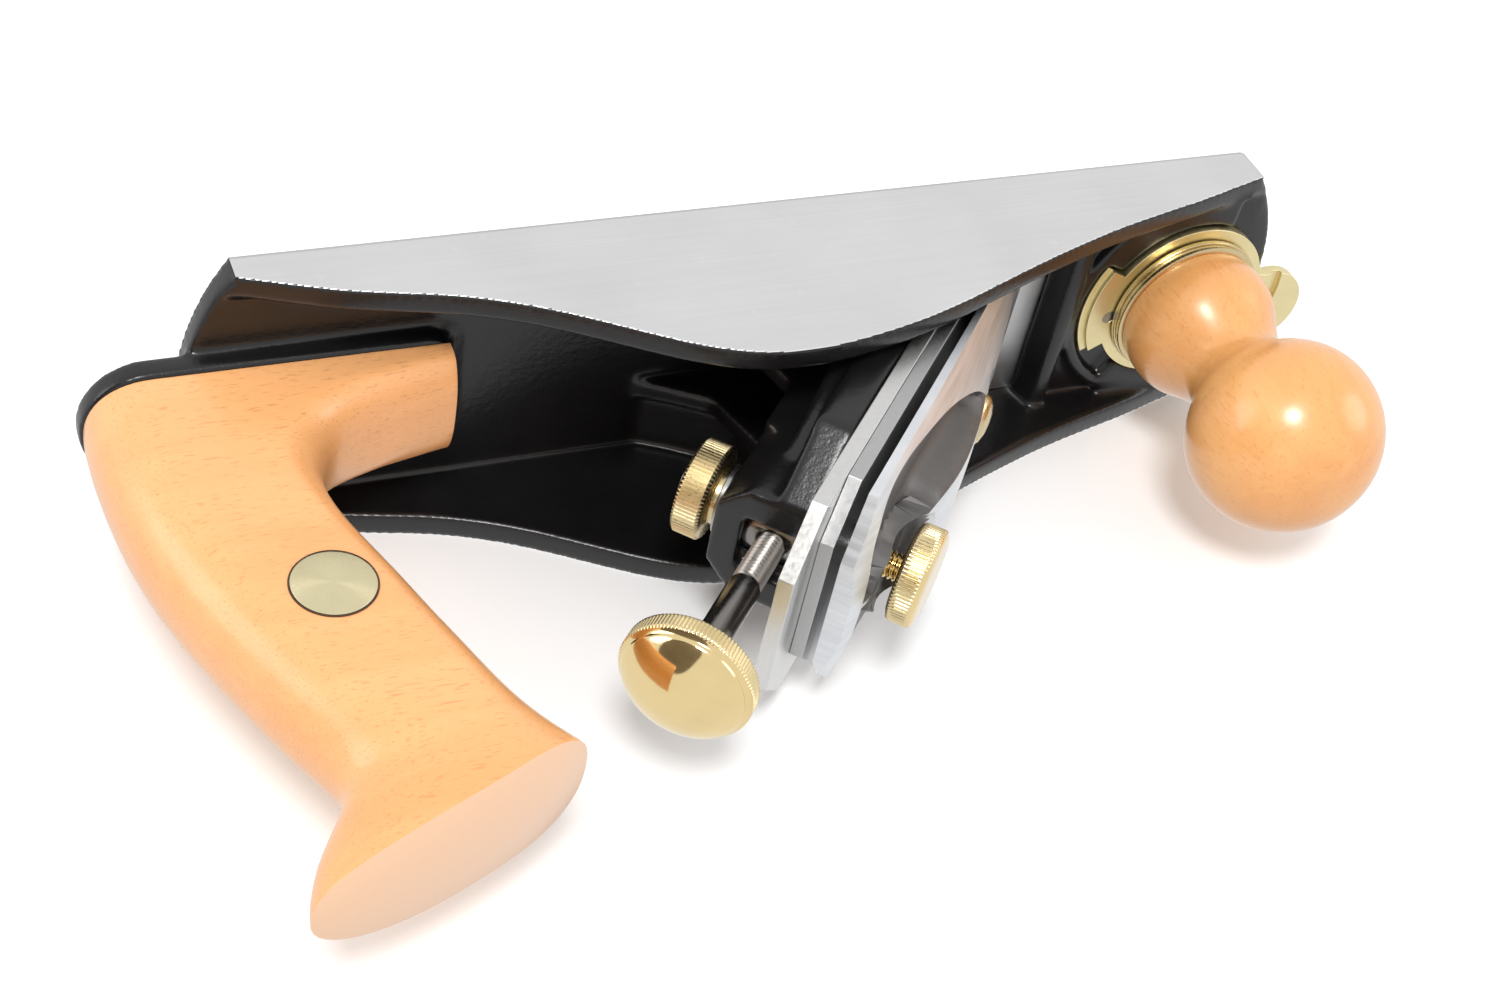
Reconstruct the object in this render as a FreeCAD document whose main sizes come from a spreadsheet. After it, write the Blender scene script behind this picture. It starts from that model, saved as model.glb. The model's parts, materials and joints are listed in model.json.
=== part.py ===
import FreeCAD, Part
import math
import os
import Sketcher

V = FreeCAD.Vector
doc = FreeCAD.newDocument("HandPlane")

# ------------------------------------------------------------------ sizes
# All lengths in millimetres, angles in degrees. Row frame: sole on z = 0,
# +X towards the toe, +Y to the left of the user, +Z up.
SIZES = [
    ("casting_half_width", 31.75), ("cheek_wall", 5.0), ("sole_thick", 5.0),
    ("heel_tip_x", -127.0), ("heel_corner_x", -116.9),
    ("toe_tip_x", 120.2), ("toe_corner_x", 109.0),
    ("bed_x", 48.0), ("bed_angle", 45.0),
    ("pad_top", 9.6), ("handle_half", 13.0), ("palm_round", 9.0), ("horn_round", 3.0), ("front_round", 5.0),
    ("knob_axis_x", 97.1), ("pocket_floor", 8.7), ("pocket_rim", 11.3),
    ("hub_rad", 11.5), ("hub_top", 12.3), ("run_gap", 0.05),
    ("toe_plate_thick", 4.9), ("toe_plate_half", 26.5), ("toe_gap", 0.15),
    ("toe_plate_back", 53.7), ("toe_plate_front", 106.0), ("toe_travel", 2.7),
    ("lever_low", 9.0), ("lever_high", 12.0), ("lever_ring_rad", 20.3),
    ("lever_ear_rad", 25.5), ("lever_tip_rad", 35.0), ("lever_rest_deg", -13.0), ("lever_ear_deg", 180.5), ("lever_ear_half_deg", 28.5),
    ("lever_pin_rad", 1.6), ("lever_pin_orbit", 18.6), ("lever_sweep_deg", 26.0),
    ("stud_rad", 4.0), ("ferrule_rad", 19.0), ("ferrule_low", 12.4), ("ferrule_high", 15.4),
    ("knob_low", 15.4), ("knob_top", 77.0),
    ("blade_width", 50.8), ("blade_thick", 3.2), ("blade_top", 120.0),
    ("cap_thick", 2.85), ("cap_low", 3.25), ("cap_top", 108.0),
    ("lever_cap_under", 8.3), ("lever_cap_top", 109.0),
    ("screw_at", 40.0), ("screw_shank_rad", 3.5), ("screw_head_rad", 6.0), ("screw_seat", 14.0),
    ("post_at", 91.0), ("post_rad", 7.5), ("post_tail_rad", 4.0), ("rod_drop", 7.7),
    ("rod_thread_rad", 3.1), ("rod_rad", 3.3), ("wheel_rad", 10.2), ("wheel_at", 90.0),
    ("wheel_low", 16.8), ("wheel_high", 23.0), ("clamp_screw_rad", 3.0),
    ("nut_rad", 10.0), ("nut_rim_thick", 3.6), ("adjust_rad", 13.3), ("head_back", 19.4),
    ("bolt_rad", 3.0), ("barrel_rad", 7.6), ("barrel_x", -113.6), ("barrel_z", 67.2),
    ("dowel_rad", 2.5), ("dowel_x", -86.0),
]
sheet = doc.addObject("Spreadsheet::Sheet", "Sizes")
for i, (alias, value) in enumerate(SIZES):
    sheet.set("A%d" % (i + 1), alias)
    sheet.set("B%d" % (i + 1), repr(value))
    sheet.setAlias("B%d" % (i + 1), alias)
doc.recompute()


class Dim:
    def __getattr__(self, name):
        return float(sheet.get(name))


d = Dim()
made = []          # every sub-part object, in order


def keep(obj, label):
    obj.Label = label
    made.append(obj)
    return obj


def value(expr):
    """Number for a plain number or for an expression on the sheet."""
    if isinstance(expr, (int, float)):
        return float(expr)
    names = {a: float(sheet.get(a)) for a, _ in SIZES}
    total = 0.0
    for sign, term in split_terms(expr):
        total += sign * term_value(term, names)
    return total


def split_terms(expr):
    out, sign, word = [], 1, ""
    for ch in expr.replace("Sizes.", "").replace(" ", ""):
        if ch in "+-" and word:
            out.append((sign, word))
            sign, word = (1 if ch == "+" else -1), ""
        elif ch in "+-":
            sign = sign * (1 if ch == "+" else -1)
        else:
            word += ch
    out.append((sign, word))
    return out


def term_value(term, names):
    num = 1.0
    for k, bit in enumerate(term.split("/")):
        v = names[bit] if bit in names else float(bit)
        num = v if k == 0 else num / v
    return num


# --------------------------------------------------------- PartDesign helpers
def origin_plane(body, role):
    for f in body.Origin.OriginFeatures:
        if f.Role == role:
            return f
    raise RuntimeError(role)


def poly_sketch(body, name, role, pts):
    """Closed polygon, every corner held by distances that follow the sheet."""
    sk = body.newObject("Sketcher::SketchObject", name)
    sk.AttachmentSupport = [(origin_plane(body, role), "")]
    sk.MapMode = "FlatFace"
    n = len(pts)
    num = [(value(a), value(b)) for a, b in pts]
    for i in range(n):
        p, q = num[i], num[(i + 1) % n]
        sk.addGeometry(Part.LineSegment(V(p[0], p[1], 0), V(q[0], q[1], 0)), False)
    for i in range(n):
        sk.addConstraint(Sketcher.Constraint("Coincident", i, 2, (i + 1) % n, 1))
    for i in range(n):
        for axis, kind, line in ((0, "DistanceX", -2), (1, "DistanceY", -1)):
            val = num[i][axis]
            if abs(val) < 1e-9:
                sk.addConstraint(Sketcher.Constraint("PointOnObject", i, 1, line))
            else:
                c = sk.addConstraint(Sketcher.Constraint(kind, -1, 1, i, 1, val))
                if not isinstance(pts[i][axis], (int, float)):
                    sk.setExpression("Constraints[%d]" % c, pts[i][axis])
    return sk


def turned(name, pts, placement):
    """Solid of revolution about its own Z axis: pts are (radius, height)."""
    body = doc.addObject("PartDesign::Body", name)
    sk = poly_sketch(body, name + "_profile", "XZ_Plane", pts)
    rev = body.newObject("PartDesign::Revolution", name + "_turn")
    rev.Profile = sk
    rev.ReferenceAxis = (sk, ["V_Axis"])
    rev.Angle = 360.0
    doc.recompute()
    body.Placement = placement
    return keep(body, name)


def padded(name, pts, length, placement, role="XY_Plane", label=None):
    body = doc.addObject("PartDesign::Body", name)
    sk = poly_sketch(body, name + "_outline", role, pts)
    pad = body.newObject("PartDesign::Pad", name + "_pad")
    pad.Profile = sk
    if isinstance(length, str):
        pad.setExpression("Length", length)
    else:
        pad.Length = length
    doc.recompute()
    body.Placement = placement
    return keep(body, label or name)


# ------------------------------------------------------------- Part helpers
def prism(points, vec):
    w = Part.makePolygon(list(points) + [points[0]])
    return Part.Face(w).extrude(vec)


def prism_xz(pts, y0, y1):
    return prism([V(x, y0, z) for x, z in pts], V(0, y1 - y0, 0))


def prism_xy(pts, z0, z1):
    return prism([V(x, y, z0) for x, y in pts], V(0, 0, z1 - z0))


def box(x0, x1, y0, y1, z0, z1):
    return Part.makeBox(x1 - x0, y1 - y0, z1 - z0, V(x0, y0, z0))


def cyl(rad, p, axis, length):
    return Part.makeCylinder(rad, length, p, axis)


# the bed frame: s runs up the bed, n stands out of it towards the toe
A = V(-1, 0, 1).normalize()
N = V(1, 0, 1).normalize()


def B(s, n, y=0.0):
    return V(d.bed_x, 0, 0) + A * s + N * n + V(0, y, 0)


def bed_place(s=0.0, n=0.0):
    """Own x up the bed, own z out of the bed."""
    rot = FreeCAD.Rotation(V(0, 1, 0), 45).multiply(FreeCAD.Rotation(V(0, 0, 1), 180))
    return FreeCAD.Placement(B(s, n), rot)


def bed_back_place(s, n):
    """Own z pointing back, out of the rear of the frog."""
    rot = FreeCAD.Rotation(V(0, 0, 1), -N)
    return FreeCAD.Placement(B(s, n), rot)


def rod_place(s, n):
    """Own z running up the bed."""
    return FreeCAD.Placement(B(s, n), FreeCAD.Rotation(V(0, 1, 0), -45))


def bed_prism(outline, n0, n1):
    """outline: (s, y) pairs, raised from n0 to n1."""
    return prism([B(s, n0, y) for s, y in outline], N * (n1 - n0))


def bed_sector(pts, y0, y1):
    """pts: (s, n) pairs, spread from y0 to y1."""
    return prism([B(s, n, y0) for s, n in pts], V(0, y1 - y0, 0))


def feature(name, shape):
    """One solid whose form is worked out below."""
    obj = doc.addObject("Part::Feature", name)
    if shape.ShapeType != "Solid" and len(shape.Solids) == 1:
        shape = shape.Solids[0]
    obj.Shape = shape
    return keep(obj, name)


# ------------------------------------------------------------- body casting
HW = d.casting_half_width
IN = HW - d.cheek_wall


def plan_face(inset=0.0, z=0.0):
    """Plan of the casting: straight sides, round heel and round toe."""
    hw = HW - inset
    hx, hc, tx, tc = d.heel_tip_x + inset, d.heel_corner_x + inset * 0.6, d.toe_tip_x - inset, d.toe_corner_x - inset * 0.6
    e = [Part.Arc(V(hc, -hw, z), V(hx, 0, z), V(hc, hw, z)).toShape(),
         Part.LineSegment(V(hc, hw, z), V(tc, hw, z)).toShape(),
         Part.Arc(V(tc, hw, z), V(tx, 0, z), V(tc, -hw, z)).toShape(),
         Part.LineSegment(V(tc, -hw, z), V(hc, -hw, z)).toShape()]
    return Part.Face(Part.Wire(e))


plan_tall = plan_face().extrude(V(0, 0, 70))
sole = plan_face().extrude(V(0, 0, d.sole_thick))

# cheek side profile, heel to toe
CHEEK = [(-127.0, 3.0), (-116.9, 6.2), (-98.0, 13.2), (-79.1, 18.0), (-60.2, 26.1),
         (-41.4, 37.6), (-31.0, 42.6), (-20.0, 44.9), (-3.6, 43.6), (15.3, 38.9), (34.2, 31.8),
         (53.0, 24.9), (71.9, 19.2), (90.8, 14.6), (109.7, 9.4), (127.0, 7.0)]


def cheek(y0, y1):
    curve = Part.BSplineCurve()
    curve.interpolate([V(x, y0, z) for x, z in CHEEK])
    top = curve.toShape()
    a, b = CHEEK[0], CHEEK[-1]
    wire = Part.Wire([top,
                      Part.LineSegment(V(b[0], y0, b[1]), V(b[0], y0, 0)).toShape(),
                      Part.LineSegment(V(b[0], y0, 0), V(a[0], y0, 0)).toShape(),
                      Part.LineSegment(V(a[0], y0, 0), V(a[0], y0, a[1])).toShape()])
    return Part.Face(wire).extrude(V(0, y1 - y0, 0)).common(plan_tall)


shape = sole.fuse([cheek(IN, HW), cheek(-HW, -IN)])

# toe rim, following the round toe
rim = plan_face().extrude(V(0, 0, 8.4)).cut(plan_face(d.cheek_wall).extrude(V(0, 0, 20)))
shape = shape.fuse(rim.common(box(100, 130, -HW, HW, 0, 20)))

# raised front deck over the sliding toe plate, with its cross rib and the
# pad round the lever
deck = box(66.0, 124.0, -IN - 0.5, IN + 0.5, d.sole_thick - 0.5, d.pocket_floor).common(
    plan_face(3.0).extrude(V(0, 0, 40)))
rib = prism_xz([(63.0, d.sole_thick + 0.1), (70.5, d.sole_thick + 0.1), (70.5, 8.7), (68.6, 12.2), (65.2, 12.2)],
               -IN - 0.5, IN + 0.5)
KX = d.knob_axis_x
rim_pad = cyl(29.0, V(KX, 0, d.sole_thick), V(0, 0, 1), d.pocket_rim - d.sole_thick).common(
    box(66.5, 113.0, -IN - 0.5, IN + 0.5, 0, 20))
shape = shape.fuse([deck, rib, rim_pad])


def lever_zone(extra, z0, z1):
    """Room swept by the ring, ear and tab of the mouth lever."""
    ring = cyl(d.lever_ring_rad + extra, V(KX, 0, z0), V(0, 0, 1), z1 - z0)
    a0 = math.radians(d.lever_ear_deg - d.lever_ear_half_deg - 0.9)
    a1 = math.radians(d.lever_ear_deg + d.lever_ear_half_deg + 0.9 + d.lever_sweep_deg)
    pts = [(KX, 0)]
    for i in range(25):
        a = a0 + (a1 - a0) * i / 24.0
        r = (d.lever_ear_rad + extra) * (1.0005)
        pts.append((KX + r * math.cos(a), r * math.sin(a)))
    ear = prism_xy(pts, z0, z1)
    tab = box(KX + 8.0, 140.0, -30.0, 30.0, z0, z1)
    return ring.fuse([ear, tab])


shape = shape.cut(lever_zone(0.45, d.pocket_floor, 40.0).common(
    box(60, 140, -IN, IN, 0, 40)))
# open the toe rim over the tab
hub = cyl(d.hub_rad, V(KX, 0, d.pocket_floor - 1.0), V(0, 0, 1), d.hub_top - d.pocket_floor + 1.0)
shape = shape.fuse(hub)

# frog: sloping bed plate, its head and ribs, cast in one with the body
plate = bed_prism([(-12, -24.6), (86, -24.6), (101, -13.5), (101, 13.5), (86, 24.6), (-12, 24.6)], -8.0, 0.0)
head = bed_sector([(52, -0.5), (101, -0.5), (101, -d.head_back), (66, -d.head_back), (46, -8)], -13.5, 13.5)
corner = [prism([B(40, -13.5, s * 13.6), B(40, -20.0, s * 7.1), B(40, -20.0, s * 13.6)], A * 62) for s in (-1, 1)]
head = head.cut(corner[0]).cut(corner[1])
ribs = []
for y0, y1 in ((-13.0, -8.0), (8.0, 13.0)):
    ribs.append(prism_xz([(46, 0.5), (B(88, -2).x, B(88, -2).z), (B(80, -19).x, B(80, -19).z),
                          (B(66, -19.2).x, B(66, -19.2).z), (-18, 14), (-34, 4.5), (-34, 0.5)], y0, y1))
webs = []
for y0, y1 in ((-IN - 0.5, -22.0), (22.0, IN + 0.5)):
    webs.append(prism_xz([(46, 0.5), (B(54, -2).x, B(54, -2).z), (B(50, -13).x, B(50, -13).z), (-14, 14), (-30, 4.5), (-30, 0.5)], y0, y1))
cross = prism_xz([(44, 0.5), (B(30, -2).x, B(30, -2).z), (B(30, -12).x, B(30, -12).z), (16, 4.5), (16, 0.5)], -IN - 0.5, IN + 0.5)
# arched gussets from the head out to both cheeks
wings = []
for sgn in (-1, 1):
    w = Part.makePolygon([B(64, -12, sgn * 12), B(92, -12, sgn * 12), B(58, -12, sgn * 27.0), B(44, -12, sgn * 27.0), B(64, -12, sgn * 12)])
    wings.append(Part.Face(w).extrude(N * 7.0))
frog = plate.fuse([head, cross] + ribs + webs + wings)
above = box(-150, 150, -60, 60, 0, 200)
frog = frog.common(above).common(box(-150, 150, -IN - 0.6, IN + 0.6, 0, 200))
shape = shape.fuse(frog)

# handle seat: a raised pad that runs out past the heel
PAD_W = 13.6


def pad_plan(z, grow):
    w = PAD_W + grow
    xr, xf = -146.5 - grow, -72.5 + grow
    e = [Part.LineSegment(V(xr + 13.5, w, z), V(xf - 4, w, z)).toShape(),
         Part.Arc(V(xf - 4, w, z), V(xf - 1.2, w - 1.2, z), V(xf, w - 4, z)).toShape(),
         Part.LineSegment(V(xf, w - 4, z), V(xf, -w + 4, z)).toShape(),
         Part.Arc(V(xf, -w + 4, z), V(xf - 1.2, -w + 1.2, z), V(xf - 4, -w, z)).toShape(),
         Part.LineSegment(V(xf - 4, -w, z), V(xr + 13.5, -w, z)).toShape(),
         Part.Arc(V(xr + 13.5, -w, z), V(xr, 0, z), V(xr + 13.5, w, z)).toShape()]
    return Part.Wire(e)


pad = Part.Face(pad_plan(4.4, 0.0)).extrude(V(0, 0, d.pad_top - 4.4))
heel_prop = prism_xz([(-118, 0.6), (-142, 4.8), (-118, 4.8)], -9.0, 9.0)
shape = shape.fuse([pad, heel_prop])

# mouth and toe-plate opening
front_x = d.toe_plate_front + d.toe_travel + 1.2
open_half = d.toe_plate_half + d.toe_gap


def toe_outline(x0, x1, half, corner_x, corner_y, z):
    pts = [(x0, -half), (x1 - corner_x, -half), (x1, -half + corner_y), (x1, half - corner_y), (x1 - corner_x, half), (x0, half)]
    return pts


opening = prism_xy(toe_outline(40.0, front_x, open_half, 9.0, 9.0, 0), -1.0, d.toe_plate_thick + 0.2)
behind = bed_sector([(-20, 0), (20, 0), (20, -60), (-20, -60)], -60, 60)
shape = shape.cut(opening.cut(behind))
# clear throat between the bed and the deck
throat = box(30.0, 63.0, -IN, IN, 4.0, 60.0).cut(bed_sector([(-20, 0), (90, 0), (90, -90), (-20, -90)], -60, 60))
shape = shape.cut(throat)

# slot for the knob stud, arc slot for the lever pin
sr = d.stud_rad + 0.3
shape = shape.cut(Part.makeCylinder(sr, 20, V(KX, 0, 2)).fuse(
    [Part.makeCylinder(sr, 20, V(KX + d.toe_travel, 0, 2)), box(KX, KX + d.toe_travel, -sr, sr, 2, 22)]))
PIN_A0 = 180.0 + 6.0
pr = d.lever_pin_rad + 0.35
arc_cut = []
for i in range(9):
    a = math.radians(PIN_A0 + d.lever_sweep_deg * i / 8.0)
    arc_cut.append(Part.makeCylinder(pr, 20, V(KX + d.lever_pin_orbit * math.cos(a), d.lever_pin_orbit * math.sin(a), 2)))
outer = Part.makeCylinder(d.lever_pin_orbit + pr, 20, V(KX, 0, 2), V(0, 0, 1), 360)
inner = Part.makeCylinder(d.lever_pin_orbit - pr, 22, V(KX, 0, 1), V(0, 0, 1), 360)
a0, a1 = math.radians(PIN_A0), math.radians(PIN_A0 + d.lever_sweep_deg)
wedge = prism_xy([(KX, 0)] + [(KX + 40 * math.cos(a0 + (a1 - a0) * i / 6.0), 40 * math.sin(a0 + (a1 - a0) * i / 6.0)) for i in range(7)], 2, 22)
arc_slot = outer.cut(inner).common(wedge).fuse([arc_cut[0], arc_cut[-1]])
shape = shape.cut(arc_slot.common(box(60, 120, -40, 40, 2, 12)))

# frog bores and channels
rr = d.post_rad + d.run_gap
shape = shape.cut(cyl(rr, B(d.post_at, -14.0), N, 20.0))
shape = shape.cut(cyl(d.post_tail_rad + d.run_gap, B(d.post_at, -30.0), N, 20.0))
shape = shape.cut(bed_prism([(66, -4.2), (110, -4.2), (110, 4.2), (66, 4.2)], -12.2, 3.0))
shape = shape.cut(bed_prism([(50, -8.2), (74, -8.2), (74, 8.2), (50, 8.2)], -4.2, 3.0))
# square mouth of the channel at the top of the head
shape = shape.cut(bed_prism([(98.0, -6.4), (110, -6.4), (110, 6.4), (98.0, 6.4)], -13.6, 3.0))
# tapped hole for the lever-cap screw
shape = shape.cut(cyl(d.screw_shank_rad, B(d.screw_at, -16.0), N, 20.0))
# bolt and dowel holes in the handle seat
bolt_dir = V(-6.0, 0, 57.3).normalize()
bolt_foot = V(d.barrel_x, 0, d.barrel_z) - bolt_dir * (d.barrel_z / bolt_dir.z)
shape = shape.cut(cyl(d.bolt_rad + 0.3, bolt_foot - bolt_dir * 1.0, bolt_dir, 14.0))
shape = shape.cut(cyl(5.2, bolt_foot - bolt_dir * 2.0, bolt_dir, 5.6))
shape = shape.cut(cyl(d.dowel_rad, V(d.dowel_x, 0, 2.0), V(0, 0, 1), 12.0))
# ledge pads level with the bed are left milled; soften the outer top edges
shape = shape.removeSplitter()
casting = feature("body_casting", shape)

# ------------------------------------------------------------- handle
REAR = [(-146.0, 9.6), (-146.1, 18.0), (-145.6, 30.0), (-144.0, 41.0), (-141.5, 51.0), (-138.0, 61.0),
        (-133.6, 71.5), (-129.3, 81.5), (-125.3, 90.3), (-122.1, 97.0), (-121.2, 101.5), (-122.6, 106.4),
        (-125.9, 112.2), (-129.0, 117.4), (-130.9, 121.6), (-131.6, 125.7)]
TOPE = [(-131.6, 125.7), (-105.2, 117.9), (-78.9, 106.1)]   # the end face arches gently
FRONT = [(-78.9, 106.1), (-84.2, 99.0), (-88.9, 91.0), (-92.8, 81.8), (-96.2, 73.0), (-99.3, 64.6), (-102.6, 55.6),
         (-105.2, 47.0), (-106.6, 39.0), (-106.2, 31.5), (-103.2, 25.8), (-98.0, 22.2), (-91.5, 20.2), (-84.0, 18.8), (-76.0, 17.2)]
FOOT_X = -76.0


PALM_END = 9                              # the palm runs to here, the horn is above


def handle_wire(y):
    rear = Part.BSplineCurve()
    rear.interpolate([V(x, y, z) for x, z in REAR])
    split = rear.parameter(V(REAR[PALM_END][0], y, REAR[PALM_END][1]))
    front = Part.BSplineCurve()
    front.interpolate([V(x, y, z) for x, z in FRONT])
    return Part.Wire([rear.toShape(rear.FirstParameter, split),
                      rear.toShape(split, rear.LastParameter),
                      Part.Arc(*[V(x, y, z) for x, z in TOPE]).toShape(),
                      front.toShape(),
                      Part.LineSegment(V(FOOT_X, y, FRONT[-1][1]), V(FOOT_X, y, 9.6)).toShape(),
                      Part.LineSegment(V(FOOT_X, y, 9.6), V(-146.0, y, 9.6)).toShape()])


hh = d.handle_half
blank = doc.addObject("Part::Feature", "handle_blank")
blank.Shape = Part.Face(handle_wire(-hh)).extrude(V(0, 2 * hh, 0))


def edge_radii(rear_rad, horn_rad, front_rad):
    """(edge, start radius, end radius) for the palm, the horn and the front."""
    out = []
    for n, e in enumerate(blank.Shape.Edges, 1):
        b = e.BoundBox
        if b.YLength > 0.1:
            continue
        if b.XMin < -140 and b.ZLength > 60:
            out.append((n, rear_rad, rear_rad))
        elif b.XMin < -125 and b.ZMin > 90 and b.ZLength < 40 and b.XLength < 14:
            out.append((n, rear_rad, horn_rad))
        elif b.XMax > -79 and b.ZLength > 60:
            out.append((n, front_rad, front_rad))
    return out


rounded = doc.addObject("Part::Fillet", "handle_rounded")
rounded.Base = blank
grip = None
for radii in ((d.palm_round, d.horn_round, d.front_round), (6.0, 2.0, 3.0), (6.0, 2.0, 0.0)):
    rounded.Edges = [t for t in edge_radii(*radii) if t[1] > 0]
    doc.recompute()
    if "Invalid" not in rounded.State and not rounded.Shape.isNull() and rounded.Shape.isValid() and len(rounded.Shape.Solids) == 1:
        grip = rounded.Shape.Solids[0]
        break
if grip is None:
    raise RuntimeError("handle edges would not round")
grip = grip.cut(cyl(d.barrel_rad, V(d.barrel_x, -20, d.barrel_z), V(0, 1, 0), 40))
grip = grip.cut(cyl(d.bolt_rad + 0.4, bolt_foot, bolt_dir, 66.0))
grip = grip.cut(cyl(d.dowel_rad, V(d.dowel_x, 0, 0.0), V(0, 0, 1), 15.0))
feature("handle", grip)

# brass cross dowel, steel bolt from below, locating dowel
barrel = doc.addObject("Part::Cylinder", "handle_barrel_nut_blank")
barrel.setExpression("Radius", "Sizes.barrel_rad")
barrel.setExpression("Height", "Sizes.handle_half * 2 + 0.3")
barrel.Placement = FreeCAD.Placement(V(d.barrel_x, d.handle_half + 0.15, d.barrel_z), FreeCAD.Rotation(V(1, 0, 0), 90))
bore = doc.addObject("Part::Cylinder", "handle_barrel_nut_bore")
bore.setExpression("Radius", "Sizes.bolt_rad")
bore.Height = 14.0
bore.Placement = FreeCAD.Placement(V(d.barrel_x, 0, d.barrel_z) - bolt_dir * 10.0, FreeCAD.Rotation(V(0, 0, 1), bolt_dir))
nutcut = doc.addObject("Part::Cut", "handle_barrel_nut")
nutcut.Base, nutcut.Tool = barrel, bore
keep(nutcut, "handle_barrel_nut")
doc.recompute()

bolt_len = (V(d.barrel_x, 0, d.barrel_z) - bolt_foot).Length
turned("handle_bolt", [(0, 0.6), (4.9, 0.6), (4.9, 3.6), ("Sizes.bolt_rad", 3.6), ("Sizes.bolt_rad", bolt_len + 3.4), (0, bolt_len + 3.4)],
       FreeCAD.Placement(bolt_foot, FreeCAD.Rotation(V(0, 0, 1), bolt_dir)))
dowel = doc.addObject("Part::Cylinder", "handle_dowel")
dowel.setExpression("Radius", "Sizes.dowel_rad")
dowel.Height = 12.4
dowel.Placement = FreeCAD.Placement(V(d.dowel_x, 0, 2.2), FreeCAD.Rotation())
keep(dowel, "handle_dowel")

# ------------------------------------------------------------- toe group
tp = prism_xy(toe_outline(d.toe_plate_back, d.toe_plate_front, d.toe_plate_half, 9.0, 9.0, 0), 0.0, d.toe_plate_thick)
tp = tp.cut(prism_xz([(d.toe_plate_back - 1, -1), (d.toe_plate_back - 0.4, -1), (d.toe_plate_back + 4.6, d.toe_plate_thick + 1), (d.toe_plate_back - 1, d.toe_plate_thick + 1)], -40, 40).cut(
    box(40, d.toe_plate_back + 0.01, -40, 40, -2, 0.0)))
tp = tp.cut(Part.makeCylinder(d.stud_rad, 20, V(KX, 0, -2)))
sx = KX - d.lever_pin_orbit - 0.05
hw = d.lever_pin_rad + 0.5
y_hi, y_lo = -1.94, -9.86
tp = tp.cut(Part.makeCylinder(hw, 20, V(sx, y_hi, 1.2)).fuse([Part.makeCylinder(hw, 20, V(sx, y_lo, 1.2)), box(sx - hw, sx + hw, y_lo, y_hi, 1.2, 20)]))
feature("toe_plate", tp)

turned("knob_stud", [(0, 0.3), ("Sizes.stud_rad", 0.3), ("Sizes.stud_rad", 44.0), (3.2, 45.0), (0, 45.0)],
       FreeCAD.Placement(V(KX, 0, 0), FreeCAD.Rotation()))

# mouth lever: ring on the hub, ear with the drive pin, thumb tab
lo, hi = d.lever_low, d.lever_high
ring = Part.makeCylinder(d.lever_ring_rad, hi - lo, V(KX, 0, lo))
rest = d.lever_rest_deg


def sector(r, a_from, a_to, z0, z1, steps=20):
    pts = [(KX, 0)]
    for i in range(steps + 1):
        a = math.radians(a_from + (a_to - a_from) * i / steps)
        pts.append((KX + r * math.cos(a), r * math.sin(a)))
    return prism_xy(pts, z0, z1)


ear_disc = Part.makeCylinder(d.lever_ear_rad, hi - lo, V(KX, 0, lo))
ear = ear_disc.common(sector(60, d.lever_ear_deg - d.lever_ear_half_deg, d.lever_ear_deg + d.lever_ear_half_deg, lo, hi))
ear_ledge = Part.makeCylinder(d.lever_ear_rad + 1, 10, V(KX, 0, lo + 1.9)).cut(Part.makeCylinder(d.lever_ear_rad - 1.5, 10, V(KX, 0, lo + 1.9)))
tab_a = math.radians(rest)
tc = V(KX + (d.lever_tip_rad - 10.4) * math.cos(tab_a), (d.lever_tip_rad - 10.4) * math.sin(tab_a), lo)
tab = Part.makeCylinder(10.4, hi - lo, tc)
nx, ny = -math.sin(tab_a), math.cos(tab_a)
ux, uy = math.cos(tab_a), math.sin(tab_a)
neck = prism_xy([(KX + nx * 9, ny * 9), (KX + ux * 24 + nx * 9.6, uy * 24 + ny * 9.6), (KX + ux * 24 - nx * 9.6, uy * 24 - ny * 9.6), (KX - nx * 9, -ny * 9)], lo, hi)
lever = ring.fuse([ear, tab, neck]).cut(ear_ledge)
lever = lever.cut(Part.makeCylinder(d.hub_rad + d.run_gap, 10, V(KX, 0, lo - 2)))
pa = math.radians(PIN_A0)
pin_c = V(KX + d.lever_pin_orbit * math.cos(pa), d.lever_pin_orbit * math.sin(pa), 0)
lever = lever.cut(Part.makeCylinder(d.lever_pin_rad, 20, pin_c)).removeSplitter()
feature("mouth_lever", lever)
pin = doc.addObject("Part::Cylinder", "mouth_lever_pin")
pin.setExpression("Radius", "Sizes.lever_pin_rad")
pin.setExpression("Height", "Sizes.lever_high - 1.6")
pin.Placement = FreeCAD.Placement(V(pin_c.x, pin_c.y, 1.5), FreeCAD.Rotation())
keep(pin, "mouth_lever_pin")

# brass ferrule under the knob, with a turned groove
turned("knob_ferrule", [(4.4, 0), ("Sizes.ferrule_rad", 0), ("Sizes.ferrule_rad", 1.1), (18.3, 1.3), (18.3, 1.7), (18.7, 1.9), (18.7, 2.7), (18.2, 3.0), (4.4, 3.0)],
       FreeCAD.Placement(V(KX, 0, d.ferrule_low), FreeCAD.Rotation()))

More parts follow.
